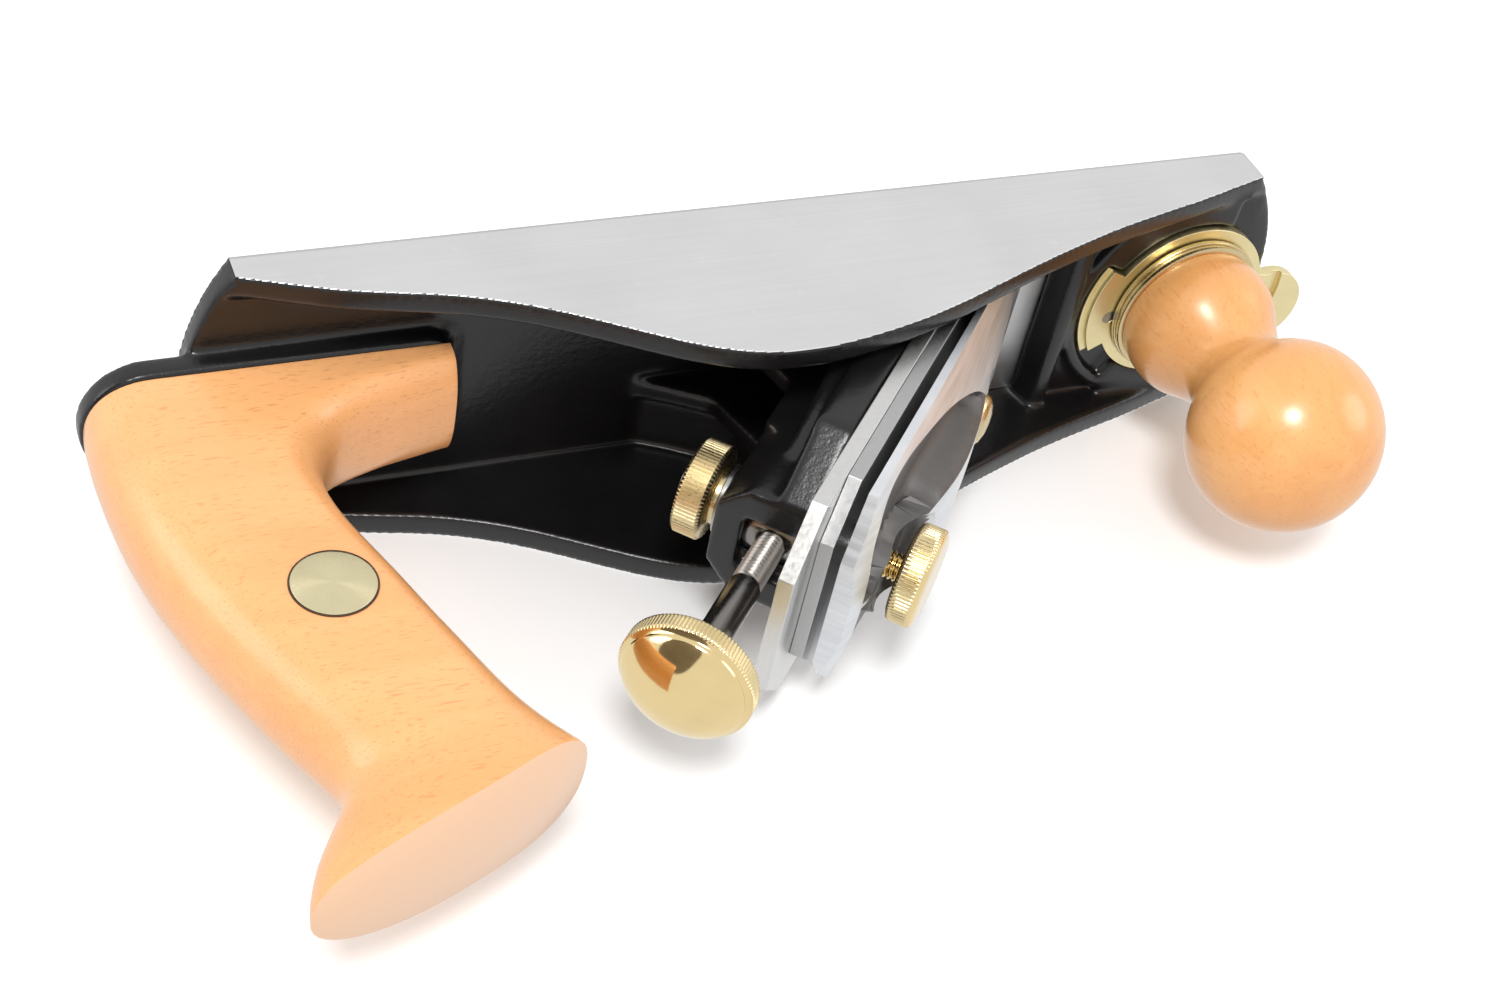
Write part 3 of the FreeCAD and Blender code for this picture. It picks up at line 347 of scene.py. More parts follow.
def lathe(profile, origin, axis, segs=96, knurl=None, thread=None):
    """profile (r, z, tag) from the axis to the axis. knurl: {tag: (teeth, depth)}."""
    o, a, u, w = frame_of(origin, axis)
    ph = np.arange(segs) * 2 * np.pi / segs
    verts, faces, rings, tags = [], [], [], []
    for item in profile:
        r, z = item[0], item[1]
        tag = item[2] if len(item) > 2 else None
        if r < 1e-6:
            rings.append([len(verts)])
            verts.append(o + a * z)
            tags.append(tag)
            continue
        rr = np.full(segs, float(r))
        if tag == "k" and knurl:
            teeth, depth = knurl
            q = (ph * teeth / (2 * np.pi)) % 1.0
            rr = r - depth * np.clip(1.0 - np.abs(q - 0.5) / 0.34, 0, 1)
        if tag == "t" and thread:
            pitch, depth = thread
            q = (z / pitch - ph / (2 * np.pi)) % 1.0
            rr = r - depth * np.clip((np.abs(q - 0.5) * 2 - 0.12) / 0.76, 0, 1)
        start = len(verts)
        for k in range(segs):
            verts.append(o + a * z + (u * math.cos(ph[k]) + w * math.sin(ph[k])) * rr[k])
        rings.append(list(range(start, start + segs)))
        tags.append(tag)
    fm = []
    for i in range(len(rings) - 1):
        p, q = rings[i], rings[i + 1]
        for k in range(segs):
            k2 = (k + 1) % segs
            if len(p) == 1 and len(q) == 1:
                continue
            if len(p) == 1:
                faces.append((p[0], q[k], q[k2]))
            elif len(q) == 1:
                faces.append((p[k], q[0], p[k2]))
            else:
                faces.append((p[k], q[k], q[k2], p[k2]))
            fm.append((tags[i], tags[i + 1]))
    return verts, faces, fm


def lathe_object(name, profile, origin, axis, mats, pick=None, segs=96, knurl=None, thread=None, sharp=35.0, **kw):
    v, f, fm = lathe(profile, origin, axis, segs, knurl, thread)
    face_mat = [pick(a, b) for a, b in fm] if pick else None
    return add_object(name, v, f, mats, face_mat, sharp, **kw)


def arc(cx, cz, r, a0, a1, n, tag=None):
    return [(cx + r * math.cos(math.radians(a0 + (a1 - a0) * i / n)), cz + r * math.sin(math.radians(a0 + (a1 - a0) * i / n)), tag) for i in range(n + 1)]


def spline(points, per=6, closed=False):
    """Natural cubic through the points, chord-length parameter."""
    P = np.array(points, float)
    t = np.concatenate([[0], np.cumsum(np.linalg.norm(np.diff(P, axis=0), axis=1))])
    n = len(P)
    h = np.diff(t)
    A = np.zeros((n, n))
    rhs = np.zeros((n, P.shape[1]))
    A[0, 0] = A[-1, -1] = 1
    for i in range(1, n - 1):
        A[i, i - 1], A[i, i], A[i, i + 1] = h[i - 1], 2 * (h[i - 1] + h[i]), h[i]
        rhs[i] = 6 * ((P[i + 1] - P[i]) / h[i] - (P[i] - P[i - 1]) / h[i - 1])
    S = np.linalg.solve(A, rhs)
    out = []
    for i in range(n - 1):
        for k in range(per):
            x = h[i] * k / per
            y = h[i] - x
            out.append(S[i] * y ** 3 / (6 * h[i]) + S[i + 1] * x ** 3 / (6 * h[i]) + (P[i] / h[i] - S[i] * h[i] / 6) * y + (P[i + 1] / h[i] - S[i + 1] * h[i] / 6) * x)
    out.append(P[-1])
    return np.array(out)


SQ = math.sqrt(0.5)
A_ = np.array([-SQ, 0, SQ])
N_ = np.array([SQ, 0, SQ])


def B(s, n, y=0.0):
    return np.array([48.0, y, 0.0]) + A_ * s + N_ * n


def weld(ob_name, new_name, body, stands, mats):
    """A copy of a CAD node as a clean closed mesh of its own."""
    src = nodes[ob_name]
    me = src.data.copy()
    me.name = new_name
    ob = bpy.data.objects.new(new_name, me)
    scene.collection.objects.link(ob)
    bm = bmesh.new()
    bm.from_mesh(me)
    bmesh.ops.remove_doubles(bm, verts=bm.verts, dist=2e-6)
    bm.to_mesh(me)
    bm.free()
    me.materials.clear()
    for m in mats:
        me.materials.append(M[m])
    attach(ob, body)
    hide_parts(*stands)
    return ob


def apply_mods(ob):
    dg = bpy.context.evaluated_depsgraph_get()
    me = bpy.data.meshes.new_from_object(ob.evaluated_get(dg))
    old = ob.data
    mats = [m for m in old.materials]
    ob.modifiers.clear()
    ob.data = me
    me.materials.clear()
    for m in mats:
        me.materials.append(m)
    return ob


def crisp(ob, width=0.2, angle=30.0, segments=2):
    """Small machined edge break on a CAD node, by modifiers only."""
    m = ob.modifiers.new("weld", "WELD")
    m.merge_threshold = 2e-6
    m = ob.modifiers.new("flat", "DECIMATE")
    m.decimate_type = "DISSOLVE"
    m.angle_limit = math.radians(0.4)
    m = ob.modifiers.new("edge", "BEVEL")
    m.width = width * MM
    m.segments = segments
    m.limit_method = "ANGLE"
    m.angle_limit = math.radians(angle)
    m.use_clamp_overlap = True
    m.harden_normals = True
    m.miter_outer = "MITER_ARC"
    return ob


def paint(name, *mats):
    ob = nodes[name]
    me = ob.data
    if not me.materials:
        for m in mats:
            me.materials.append(M[m])
    else:
        for i in range(len(me.materials)):
            me.materials[i] = M[mats[min(i, len(mats) - 1)]]


BODY_OF = {n: b for b, ns in frame["record"]["behaviour"]["bodies"].items() for n in ns}

# --------------------------------------------------------------- the casting
cast = weld("body_casting", "casting", "body", ["body_casting"], ["cast"])


def prism_into(me, outline, y0, y1):
    """Add a closed prism (outline in x, z millimetres) to a mesh."""
    bm = bmesh.new()
    bm.from_mesh(me)
    a = [bm.verts.new((x * MM, y0 * MM, z * MM)) for x, z in outline]
    b = [bm.verts.new((x * MM, y1 * MM, z * MM)) for x, z in outline]
    new = [bm.faces.new(a), bm.faces.new(list(reversed(b)))]
    for i in range(len(a)):
        k = (i + 1) % len(a)
        new.append(bm.faces.new((a[i], b[i], b[k], a[k])))
    bmesh.ops.recalc_face_normals(bm, faces=new)
    bm.to_mesh(me)
    bm.free()


def bed_xz(s, n):
    return (48.0 + (-s + n) / math.sqrt(2), (s + n) / math.sqrt(2))


web = [(44.0, 1.5), bed_xz(56, -3), bed_xz(62, -10), bed_xz(55, -14.5), (-12.0, 15.5), (-24.0, 8.0), (-31.0, 4.6), (-31.0, 1.5)]
prism_into(cast.data, web, 9.0, 27.5)
prism_into(cast.data, web, -27.5, -9.0)
rm = cast.modifiers.new("voxel", "REMESH")
rm.mode = "VOXEL"
rm.voxel_size = 0.00055
rm.adaptivity = 0.0
rm.use_smooth_shade = True
apply_mods(cast)


def relax(me, rounds, lock, keep_plane):
    """Laplacian smoothing with locked points; keep_plane points stay in their plane."""
    n = len(me.vertices)
    co = np.zeros(n * 3, np.float32)
    me.vertices.foreach_get("co", co)
    co = co.reshape(-1, 3).astype(float)
    e = np.zeros(len(me.edges) * 2, np.int32)
    me.edges.foreach_get("vertices", e)
    e = e.reshape(-1, 2)
    deg = np.bincount(e.ravel(), minlength=n).astype(float)
    rest = co.copy()
    weight = 1.0 - lock(co)
    fixed_y, fixed_z = keep_plane(co)
    for r in range(rounds):
        acc = np.zeros_like(co)
        for c in range(3):
            acc[:, c] = np.bincount(e[:, 0], weights=co[e[:, 1], c], minlength=n) + np.bincount(e[:, 1], weights=co[e[:, 0], c], minlength=n)
        avg = acc / deg[:, None]
        step = 0.55 if r % 2 == 0 else -0.30
        if r % 6 == 5:
            step = 0.35
        co += (avg - co) * (step * weight)[:, None]
        co[fixed_y, 1] = rest[fixed_y, 1]
        co[fixed_z, 2] = rest[fixed_z, 2]
    return co


def casting_lock(co):
    w = np.zeros(len(co))
    near = (np.abs(co[:, 1]) > 0.0312) | (co[:, 2] < 0.0006)
    w[near] = 1.0
    return w


def casting_planes(co):
    return np.abs(co[:, 1]) > 0.0315, co[:, 2] < 0.0002


new_co = relax(cast.data, 26, casting_lock, casting_planes)
flat = np.abs(np.abs(new_co[:, 1]) - 0.03175) < 0.00030
new_co[flat, 1] = np.sign(new_co[flat, 1]) * 0.03175
flat = np.abs(new_co[:, 2]) < 0.00030
new_co[flat, 2] = 0.0
# the seat ends square, level with the end of the handle
wz = np.clip((new_co[:, 2] - 0.0052) / 0.0007, 0, 1) * (np.abs(new_co[:, 1]) < 0.0165) * (new_co[:, 2] < 0.0105)
wx = np.clip((new_co[:, 0] + 0.082) / 0.006, 0, 1) * (new_co[:, 0] < -0.070)
new_co[:, 0] -= 0.0027 * wz * wx
cast.data.vertices.foreach_set("co", new_co.astype(np.float32).ravel())
cast.data.update()
cast.data.shade_smooth()

# --------------------------------------------------------------- the handle
# chords from the palm to the finger side: rear x, z, front x, z, half width,
# rear rounding depth, front rounding depth
CHORDS = [
    (-145.8, 9.6, -56.0, 9.6, 12.6, 13.5, 20.0),
    (-145.9, 11.0, -60.0, 13.0, 12.6, 13.5, 22.0),
    (-146.0, 12.6, -66.0, 14.9, 12.6, 13.5, 25.0),
    (-146.0, 14.4, -72.0, 16.2, 12.6, 13.5, 26.0),
    (-146.0, 16.2, -78.5, 17.4, 12.6, 13.5, 25.0),
    (-146.0, 18.4, -85.0, 18.8, 12.6, 13.5, 22.0),
    (-145.9, 21.0, -91.5, 20.2, 12.6, 13.5, 17.0),
    (-145.7, 24.5, -98.0, 22.6, 12.6, 13.5, 13.0),
    (-145.4, 28.5, -103.0, 26.4, 12.7, 13.5, 10.0),
    (-144.9, 33.5, -105.9, 31.8, 12.7, 13.5, 8.5),
    (-144.0, 40.0, -106.5, 39.2, 12.8, 13.5, 7.5),
    (-142.5, 47.5, -105.2, 47.0, 12.8, 13.5, 7.0),
    (-140.2, 56.0, -102.3, 55.8, 12.8, 13.5, 7.0),
    (-136.9, 65.5, -98.9, 65.0, 12.8, 13.5, 7.0),
    (-133.2, 74.8, -95.8, 73.6, 12.8, 13.5, 7.5),
    (-129.4, 83.5, -92.2, 82.8, 12.85, 13.8, 8.5),
    (-125.6, 91.5, -88.4, 92.0, 12.9, 14.5, 10.5),
    (-122.6, 98.0, -84.6, 99.0, 13.0, 16.5, 13.0),
    (-121.3, 103.2, -80.9, 103.9, 13.1, 20.0, 16.0),
    (-122.3, 106.8, -78.0, 107.5, 13.15, 23.5, 18.5),
    (-124.8, 110.8, -75.6, 111.2, 13.2, 26.0, 20.5),
    (-128.2, 116.0, -72.6, 116.4, 13.2, 27.5, 22.0),
    (-130.6, 121.0, -70.0, 121.6, 13.2, 28.0, 22.0),
    (-132.0, 126.0, -67.6, 127.0, 13.2, 28.0, 22.0),
    (-132.8, 132.0, -65.0, 133.5, 13.2, 28.0, 22.0),
]
TOP_A, TOP_B, TOP_RISE = (-131.6, 125.6), (-78.9, 106.1), 2.0
FOOT_END = -75.6


def top_z(x):
    f = (x - TOP_A[0]) / (TOP_B[0] - TOP_A[0])
    return TOP_A[1] + (TOP_B[1] - TOP_A[1]) * f + TOP_RISE * (1.0 - (2.0 * f - 1.0) ** 2)


def make_handle():
    rows = spline(CHORDS, 5)
    per_arc, per_side, p = 26, 9, 2.25
    rings = []
    for xr, zr, xf, zf, w, dr, df in rows:
        pr, pf = np.array([xr, 0, zr]), np.array([xf, 0, zf])
        L = np.linalg.norm(pf - pr)
        u = (pf - pr) / L
        dr, df = min(dr, L * 0.5), min(df, L * 0.49)
        ring = []
        for i in range(per_arc + 1):
            a = math.pi * i / per_arc
            c, s_ = math.cos(a), math.sin(a)
            yy = w * math.copysign(abs(c) ** (2 / p), c)
            ring.append(pr + u * dr * (1 - abs(s_) ** (2 / p)) + np.array([0, yy, 0]))
        for k in range(1, per_side + 1):
            ring.append(pr + u * (dr + (L - dr - df) * k / (per_side + 1)) + np.array([0, -w, 0]))
        for i in range(per_arc + 1):
            a = math.pi * i / per_arc
            c, s_ = math.cos(a), math.sin(a)
            yy = -w * math.copysign(abs(c) ** (2 / p), c)
            ring.append(pf - u * df * (1 - abs(s_) ** (2 / p)) + np.array([0, yy, 0]))
        for k in range(1, per_side + 1):
            ring.append(pf - u * (df + (L - dr - df) * k / (per_side + 1)) + np.array([0, w, 0]))
        rings.append(ring)
    R = np.array(rings)                       # rows, around, xyz
    n_rows, n = R.shape[:2]
    M_ROWS = 130
    lines = np.zeros((M_ROWS + 1, n, 3))
    for k in range(n):
        f = R[:, k, 2] - np.array([top_z(x) for x in R[:, k, 0]])
        j = next(i for i in range(n_rows // 2, n_rows) if f[i] >= 0)
        te = (j - 1) + f[j - 1] / (f[j - 1] - f[j])
        tt = np.linspace(0, te, M_ROWS + 1)
        for c in range(3):
            lines[:, k, c] = np.interp(tt, np.arange(n_rows), R[:, k, c])
    verts = lines.reshape(-1, 3)
    faces = []
    for i in range(M_ROWS):
        for k in range(n):
            k2 = (k + 1) % n
            faces.append((i * n + k, i * n + k2, (i + 1) * n + k2, (i + 1) * n + k))
    faces.append(tuple(range(n)))
    # the end face: strips across from one side to the other
    top = M_ROWS * n
    mirror = {}
    for i in range(per_arc + 1):
        mirror[i] = per_arc - i
        mirror[per_arc + 1 + per_side + i] = per_arc + 1 + per_side + per_arc - i
    for k in range(per_side):
        a = per_arc + 1 + k
        mirror[a] = n - 1 - k
        mirror[n - 1 - k] = a
    half = list(range(per_arc // 2, per_arc + 1 + per_side + per_arc // 2 + 1))
    for a, b in zip(half[:-1], half[1:]):
        q = [a, b, mirror[b], mirror[a]]
        q = [v for i, v in enumerate(q) if v not in q[:i]]
        faces.append(tuple(top + v for v in q))
    me = bpy.data.meshes.new("handle_grip")
    me.from_pydata([tuple(v * MM) for v in verts], [], faces)
    bm = bmesh.new()
    bm.from_mesh(me)
    bmesh.ops.recalc_face_normals(bm, faces=bm.faces)
    got = bmesh.ops.bisect_plane(bm, geom=bm.verts[:] + bm.edges[:] + bm.faces[:], plane_co=Vector((FOOT_END, 0, 20)) * MM,
                                 plane_no=Vector((1, 0, 0)), clear_outer=False)
    # cut the foot off square, below the finger curve only
    low = [f for f in bm.faces if f.calc_center_median().x > FOOT_END * MM and f.calc_center_median().z < 0.05]
    bmesh.ops.delete(bm, geom=low, context="FACES")
    rim = [e for e in bm.edges if len(e.link_faces) == 1 and all(abs(v.co.x - FOOT_END * MM) < 2e-6 and v.co.z < 0.05 for v in e.verts)]
    bmesh.ops.edgeloop_fill(bm, edges=rim)
    bmesh.ops.dissolve_degenerate(bm, dist=1e-6, edges=bm.edges)
    rim = [e for e in bm.edges if len(e.link_faces) == 2 and e.calc_face_angle(0) > math.radians(38)]
    bmesh.ops.bevel(bm, geom=rim, offset=0.28 * MM, segments=2, profile=0.5, affect="EDGES", clamp_overlap=True)
    bm.to_mesh(me)
    bm.free()
    me.materials.append(M["handle"])
    ob = bpy.data.objects.new("handle_grip", me)
    scene.collection.objects.link(ob)
    me.shade_smooth()
    me.set_sharp_from_angle(angle=math.radians(28))
    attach(ob, "body")
    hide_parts("handle")
    return ob


make_handle()

# brass cross dowel: brushed flat ends with a fine edge, just proud of the wood
lo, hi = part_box("handle_barrel_nut")
bx, bz = (lo.x + hi.x) / 2 / MM, (lo.z + hi.z) / 2 / MM
by = hi.y / MM
br = (hi.x - lo.x) / 2 / MM
lathe_object("handle_cross_dowel",
             [(0, -by), (br - 0.35, -by), (br - 0.08, -by + 0.1), (br, -by + 0.35), (br, by - 0.35), (br - 0.08, by - 0.1), (br - 0.35, by), (0, by)],
             (bx, 0, bz), (0, 1, 0), ["disc"], segs=96, sharp=30, body="body", stands=["handle_barrel_nut"], slot="brushed_brass")
for sg in (-1, 1):
    y0, y1 = by - 0.9, by - 0.10
    ring = [(br + 0.02, y0), (br + 0.28, y0), (br + 0.30, y1 - 0.1), (br + 0.24, y1), (br + 0.06, y1), (br + 0.02, y1 - 0.1), (br + 0.02, y0)]
    lathe_object("dowel_gap_" + ("left" if sg > 0 else "right"), ring, (bx, 0, bz), (0, sg, 0), ["gap"], segs=96, sharp=30, body="body", slot="handle_wood")

# ------------------------------------------------------------ the front knob
lo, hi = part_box("front_knob")
KX = (lo.x + hi.x) / 2 / MM
KNOB = [(16.5, 15.45), (17.0, 18.0), (17.1, 21.5), (16.3, 25.5), (14.3, 29.6), (12.6, 33.2), (11.7, 36.6), (12.6, 40.0),
        (16.2, 44.2), (19.6, 49.0), (21.3, 54.6), (21.2, 60.4), (19.2, 66.4), (15.4, 71.6), (10.4, 75.2), (5.2, 76.7), (0.0, 77.0)]
prof = [(float(r), float(z)) for r, z in spline(KNOB, 6)]
prof[-1] = (0.0, 77.0)
lathe_object("knob_turning", [(7.05, 15.45), (16.1, 15.45)] + prof, (KX, 0, 0), (0, 0, 1), ["knob"], segs=144, sharp=40,
             body="front_knob", stands=["front_knob"], slot="knob_wood")

# grooved brass ferrule
lo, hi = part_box("knob_ferrule")
f0, f1, fr = lo.z / MM, hi.z / MM, (hi.x - lo.x) / 2 / MM - 1.1
lathe_object("knob_ferrule_ring",
             [(4.4, f0), (fr - 0.2, f0)] + arc(fr - 0.3, f0 + 0.3, 0.3, -60, 0, 4) + [(fr, f0 + 0.95), (fr - 0.10, f0 + 1.12), (fr - 0.62, f0 + 1.26), (fr - 0.70, f0 + 1.42),
              (fr - 0.62, f0 + 1.58), (fr - 0.34, f0 + 1.72), (fr - 0.30, f0 + 1.9), (fr - 0.30, f0 + 2.35), (fr - 0.42, f0 + 2.68), (fr - 0.85, f0 + 2.92), (fr - 1.3, f1), (4.4, f1)],
             (KX, 0, 0), (0, 0, 1), ["turned"], segs=144, sharp=25, body="knob_collar", stands=["knob_ferrule"], slot="turned_brass")

# ---------------------------------------------------- knurled brass and rods
def knurl_pick(a, b):
    return 1 if a == "k" and b == "k" else 0


o = B(132.8, -7.7)
prof = [(0, 0.0), (6.6, 0.0), (7.2, 0.3), (7.4, 0.7), (7.4, 1.7), (8.0, 1.95), (11.9, 2.1), (12.6, 2.3), (13.0, 2.55),
        (13.3, 2.9, "k"), (13.3, 3.6, "k"), (13.3, 4.4, "k"), (13.3, 5.2, "k"), (13.3, 5.9, "k"), (13.0, 6.35), (12.75, 6.5),
        (12.35, 6.75), (12.15, 7.05), (12.15, 7.35), (12.1, 7.6), (11.85, 7.95), (11.3, 8.5), (10.4, 9.25), (9.2, 10.1), (7.8, 10.9),
        (6.2, 11.6), (4.5, 12.15), (2.9, 12.5), (1.4, 12.7), (0, 12.75)]
lathe_object("depth_knob", prof, o, A_, ["polished", "knurl"], knurl_pick, 540, (108, 0.32), sharp=32,
             body="depth_adjuster", stands=["adjuster_knob"], slot="polished_brass")

# rod: plain dark shank above, threads where it enters the frog
prof = [(0, 0), (3.6, 0), (3.9, 0.3), (3.9, 1.5), (2.1, 1.5), (2.1, 2.0), (3.05, 2.4), (3.05, 22.0)]
z = 22.0
while z < 42.0:
    prof.append((3.1, round(z, 3), "t"))
    z += 0.125
prof += [(2.75, 42.1), (2.75, 42.5), (3.25, 42.9), (3.3, 43.2), (3.3, 66.5), (3.3, 70.2), (0, 70.2)]
lathe_object("depth_rod", prof, B(68.4, -7.7), A_, ["rod", "thread"], lambda a, b: 1 if a == "t" or b == "t" else 0, 48,
             thread=(1.0, 0.42), sharp=30, body="depth_adjuster", stands=["adjuster_rod"], slot="rod_steel")

# tension nut behind the frog
lo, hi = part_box("tension_nut")
prof = [(4.06, 0), (5.4, 0), (5.8, 0.3), (5.9, 0.6), (5.9, 1.3), (6.4, 1.5), (8.6, 1.6), (9.3, 1.85),
        (9.9, 2.4, "k"), (9.9, 3.6, "k"), (9.9, 5.0, "k"), (9.9, 6.4, "k"), (9.9, 7.0, "k"), (9.4, 7.5), (8.8, 7.7), (6.4, 7.75), (6.1, 7.9), (4.9, 8.1), (4.06, 8.1), (4.06, 0)]
lathe_object("swivel_nut", prof, B(91.0, -20.4), -N_, ["turned", "knurl"], knurl_pick, 360, (72, 0.34), sharp=32,
             body="tension_nut", stands=["tension_nut"], slot="polished_brass")

# clamp wheel with its threaded shank
lo_c, hi_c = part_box("clamp_screw")
prof = [(0, 0), (2.3, 0.05), (2.9, 0.6), (2.9, 3.6)]
z = 3.6
while z < 8.75:
    prof.append((2.95, round(z, 3), "t"))
    z += 0.125
prof += [(5.0, 8.8), (5.5, 9.0), (9.2, 9.15), (9.8, 9.45), (10.2, 9.95, "k"), (10.2, 11.0, "k"), (10.2, 12.2, "k"), (10.2, 13.3, "k"), (10.2, 13.9, "k"),
         (9.85, 14.4), (9.5, 14.65), (8.6, 14.88), (6.0, 14.98), (3.0, 15.0), (0, 15.0)]
lathe_object("clamp_wheel", prof, B(90.0, 8.0), N_, ["polished", "knurl"], lambda a, b: 1 if (a == "k" and b == "k") else 0, 380, (76, 0.32),
             thread=(1.0, 0.40), sharp=32, body="clamp_screw", stands=["clamp_screw"], slot="polished_brass")

# ------------------------------------------------------------- lever cap
KEY_S, SCREW_R, HEAD_R = 40.0, 3.8, 6.4
SECS = [(8.0, 24.9, 9.0, 3.0, 11.4), (36.0, 24.9, 9.5, 4.4, 15.6), (76.0, 24.9, 10.0, 9.0, 18.4), (101.0, 24.9, 10.2, 9.0, 14.0), (109.0, 13.6, 10.8, 7.0, 12.3)]


SEC_CURVE = spline(SECS, 12)


def cap_at(s):
    s = min(max(s, SECS[0][0]), SECS[-1][0])
    return [s] + [float(np.interp(s, SEC_CURVE[:, 0], SEC_CURVE[:, c])) for c in range(1, 5)]


def cap_top(s, y):
    """Height of the cap: flat crest, straight flanks, the two blended."""
    _, w, en, ch, cn = cap_at(s)
    if s <= 101.0:
        w = 24.9
    ay = abs(y)
    f = (ay - ch) / max(w - ch, 1e-6)
    flank = cn + (en - cn) * f
    k = 0.5
    d = flank - cn
    h = cn + 0.5 * (d - math.sqrt(d * d + k * k)) + 0.12
    r = math.hypot(s - 90.0, y)
    return min(h, 13.5 + max(0.0, r - 8.4) * 1.15)


SCOOP = [(39.0, 6.2), (45.0, 11.4), (53.0, 16.0), (63.5, 19.8), (77.5, 22.2), (90.0, 22.9), (97.0, 21.2), (101.6, 16.6), (103.6, 11.0),
         (103.9, 5.0), (103.6, 0.6)]
INNER = [(100.4, 0.6), (99.4, 4.4), (96.0, 7.4), (90.0, 8.9), (84.0, 9.3), (78.0, 9.2), (68.0, 8.0), (56.0, 6.5), (46.0, 5.2)]


def loop_dist(poly, p):
    """Distance from p to a closed polyline, and whether p is inside."""
    a = poly
    b = np.roll(poly, -1, axis=0)
    d = b - a
    t = np.clip(((p - a) * d).sum(1) / np.maximum((d * d).sum(1), 1e-12), 0, 1)
    q = a + d * t[:, None]
    dist = np.sqrt(((p - q) ** 2).sum(1))
    cond = (a[:, 1] > p[1]) != (b[:, 1] > p[1])
    with np.errstate(divide="ignore", invalid="ignore"):
        xs = (b[:, 0] - a[:, 0]) * (p[1] - a[:, 1]) / (b[:, 1] - a[:, 1]) + a[:, 0]
    inside = (np.sum(cond & (p[0] < xs)) % 2) == 1
    return dist, q, inside


def resample(pts, step):
    P = np.array(pts, float)
    out = []
    for a, b in zip(P, np.roll(P, -1, axis=0)):
        n = max(1, int(round(np.linalg.norm(b - a) / step)))
        out += [a + (b - a) * k / n for k in range(n)]
    return np.array(out)


def smooth(x):
    x = min(1.0, max(0.0, x))
    return x * x * (3 - 2 * x)


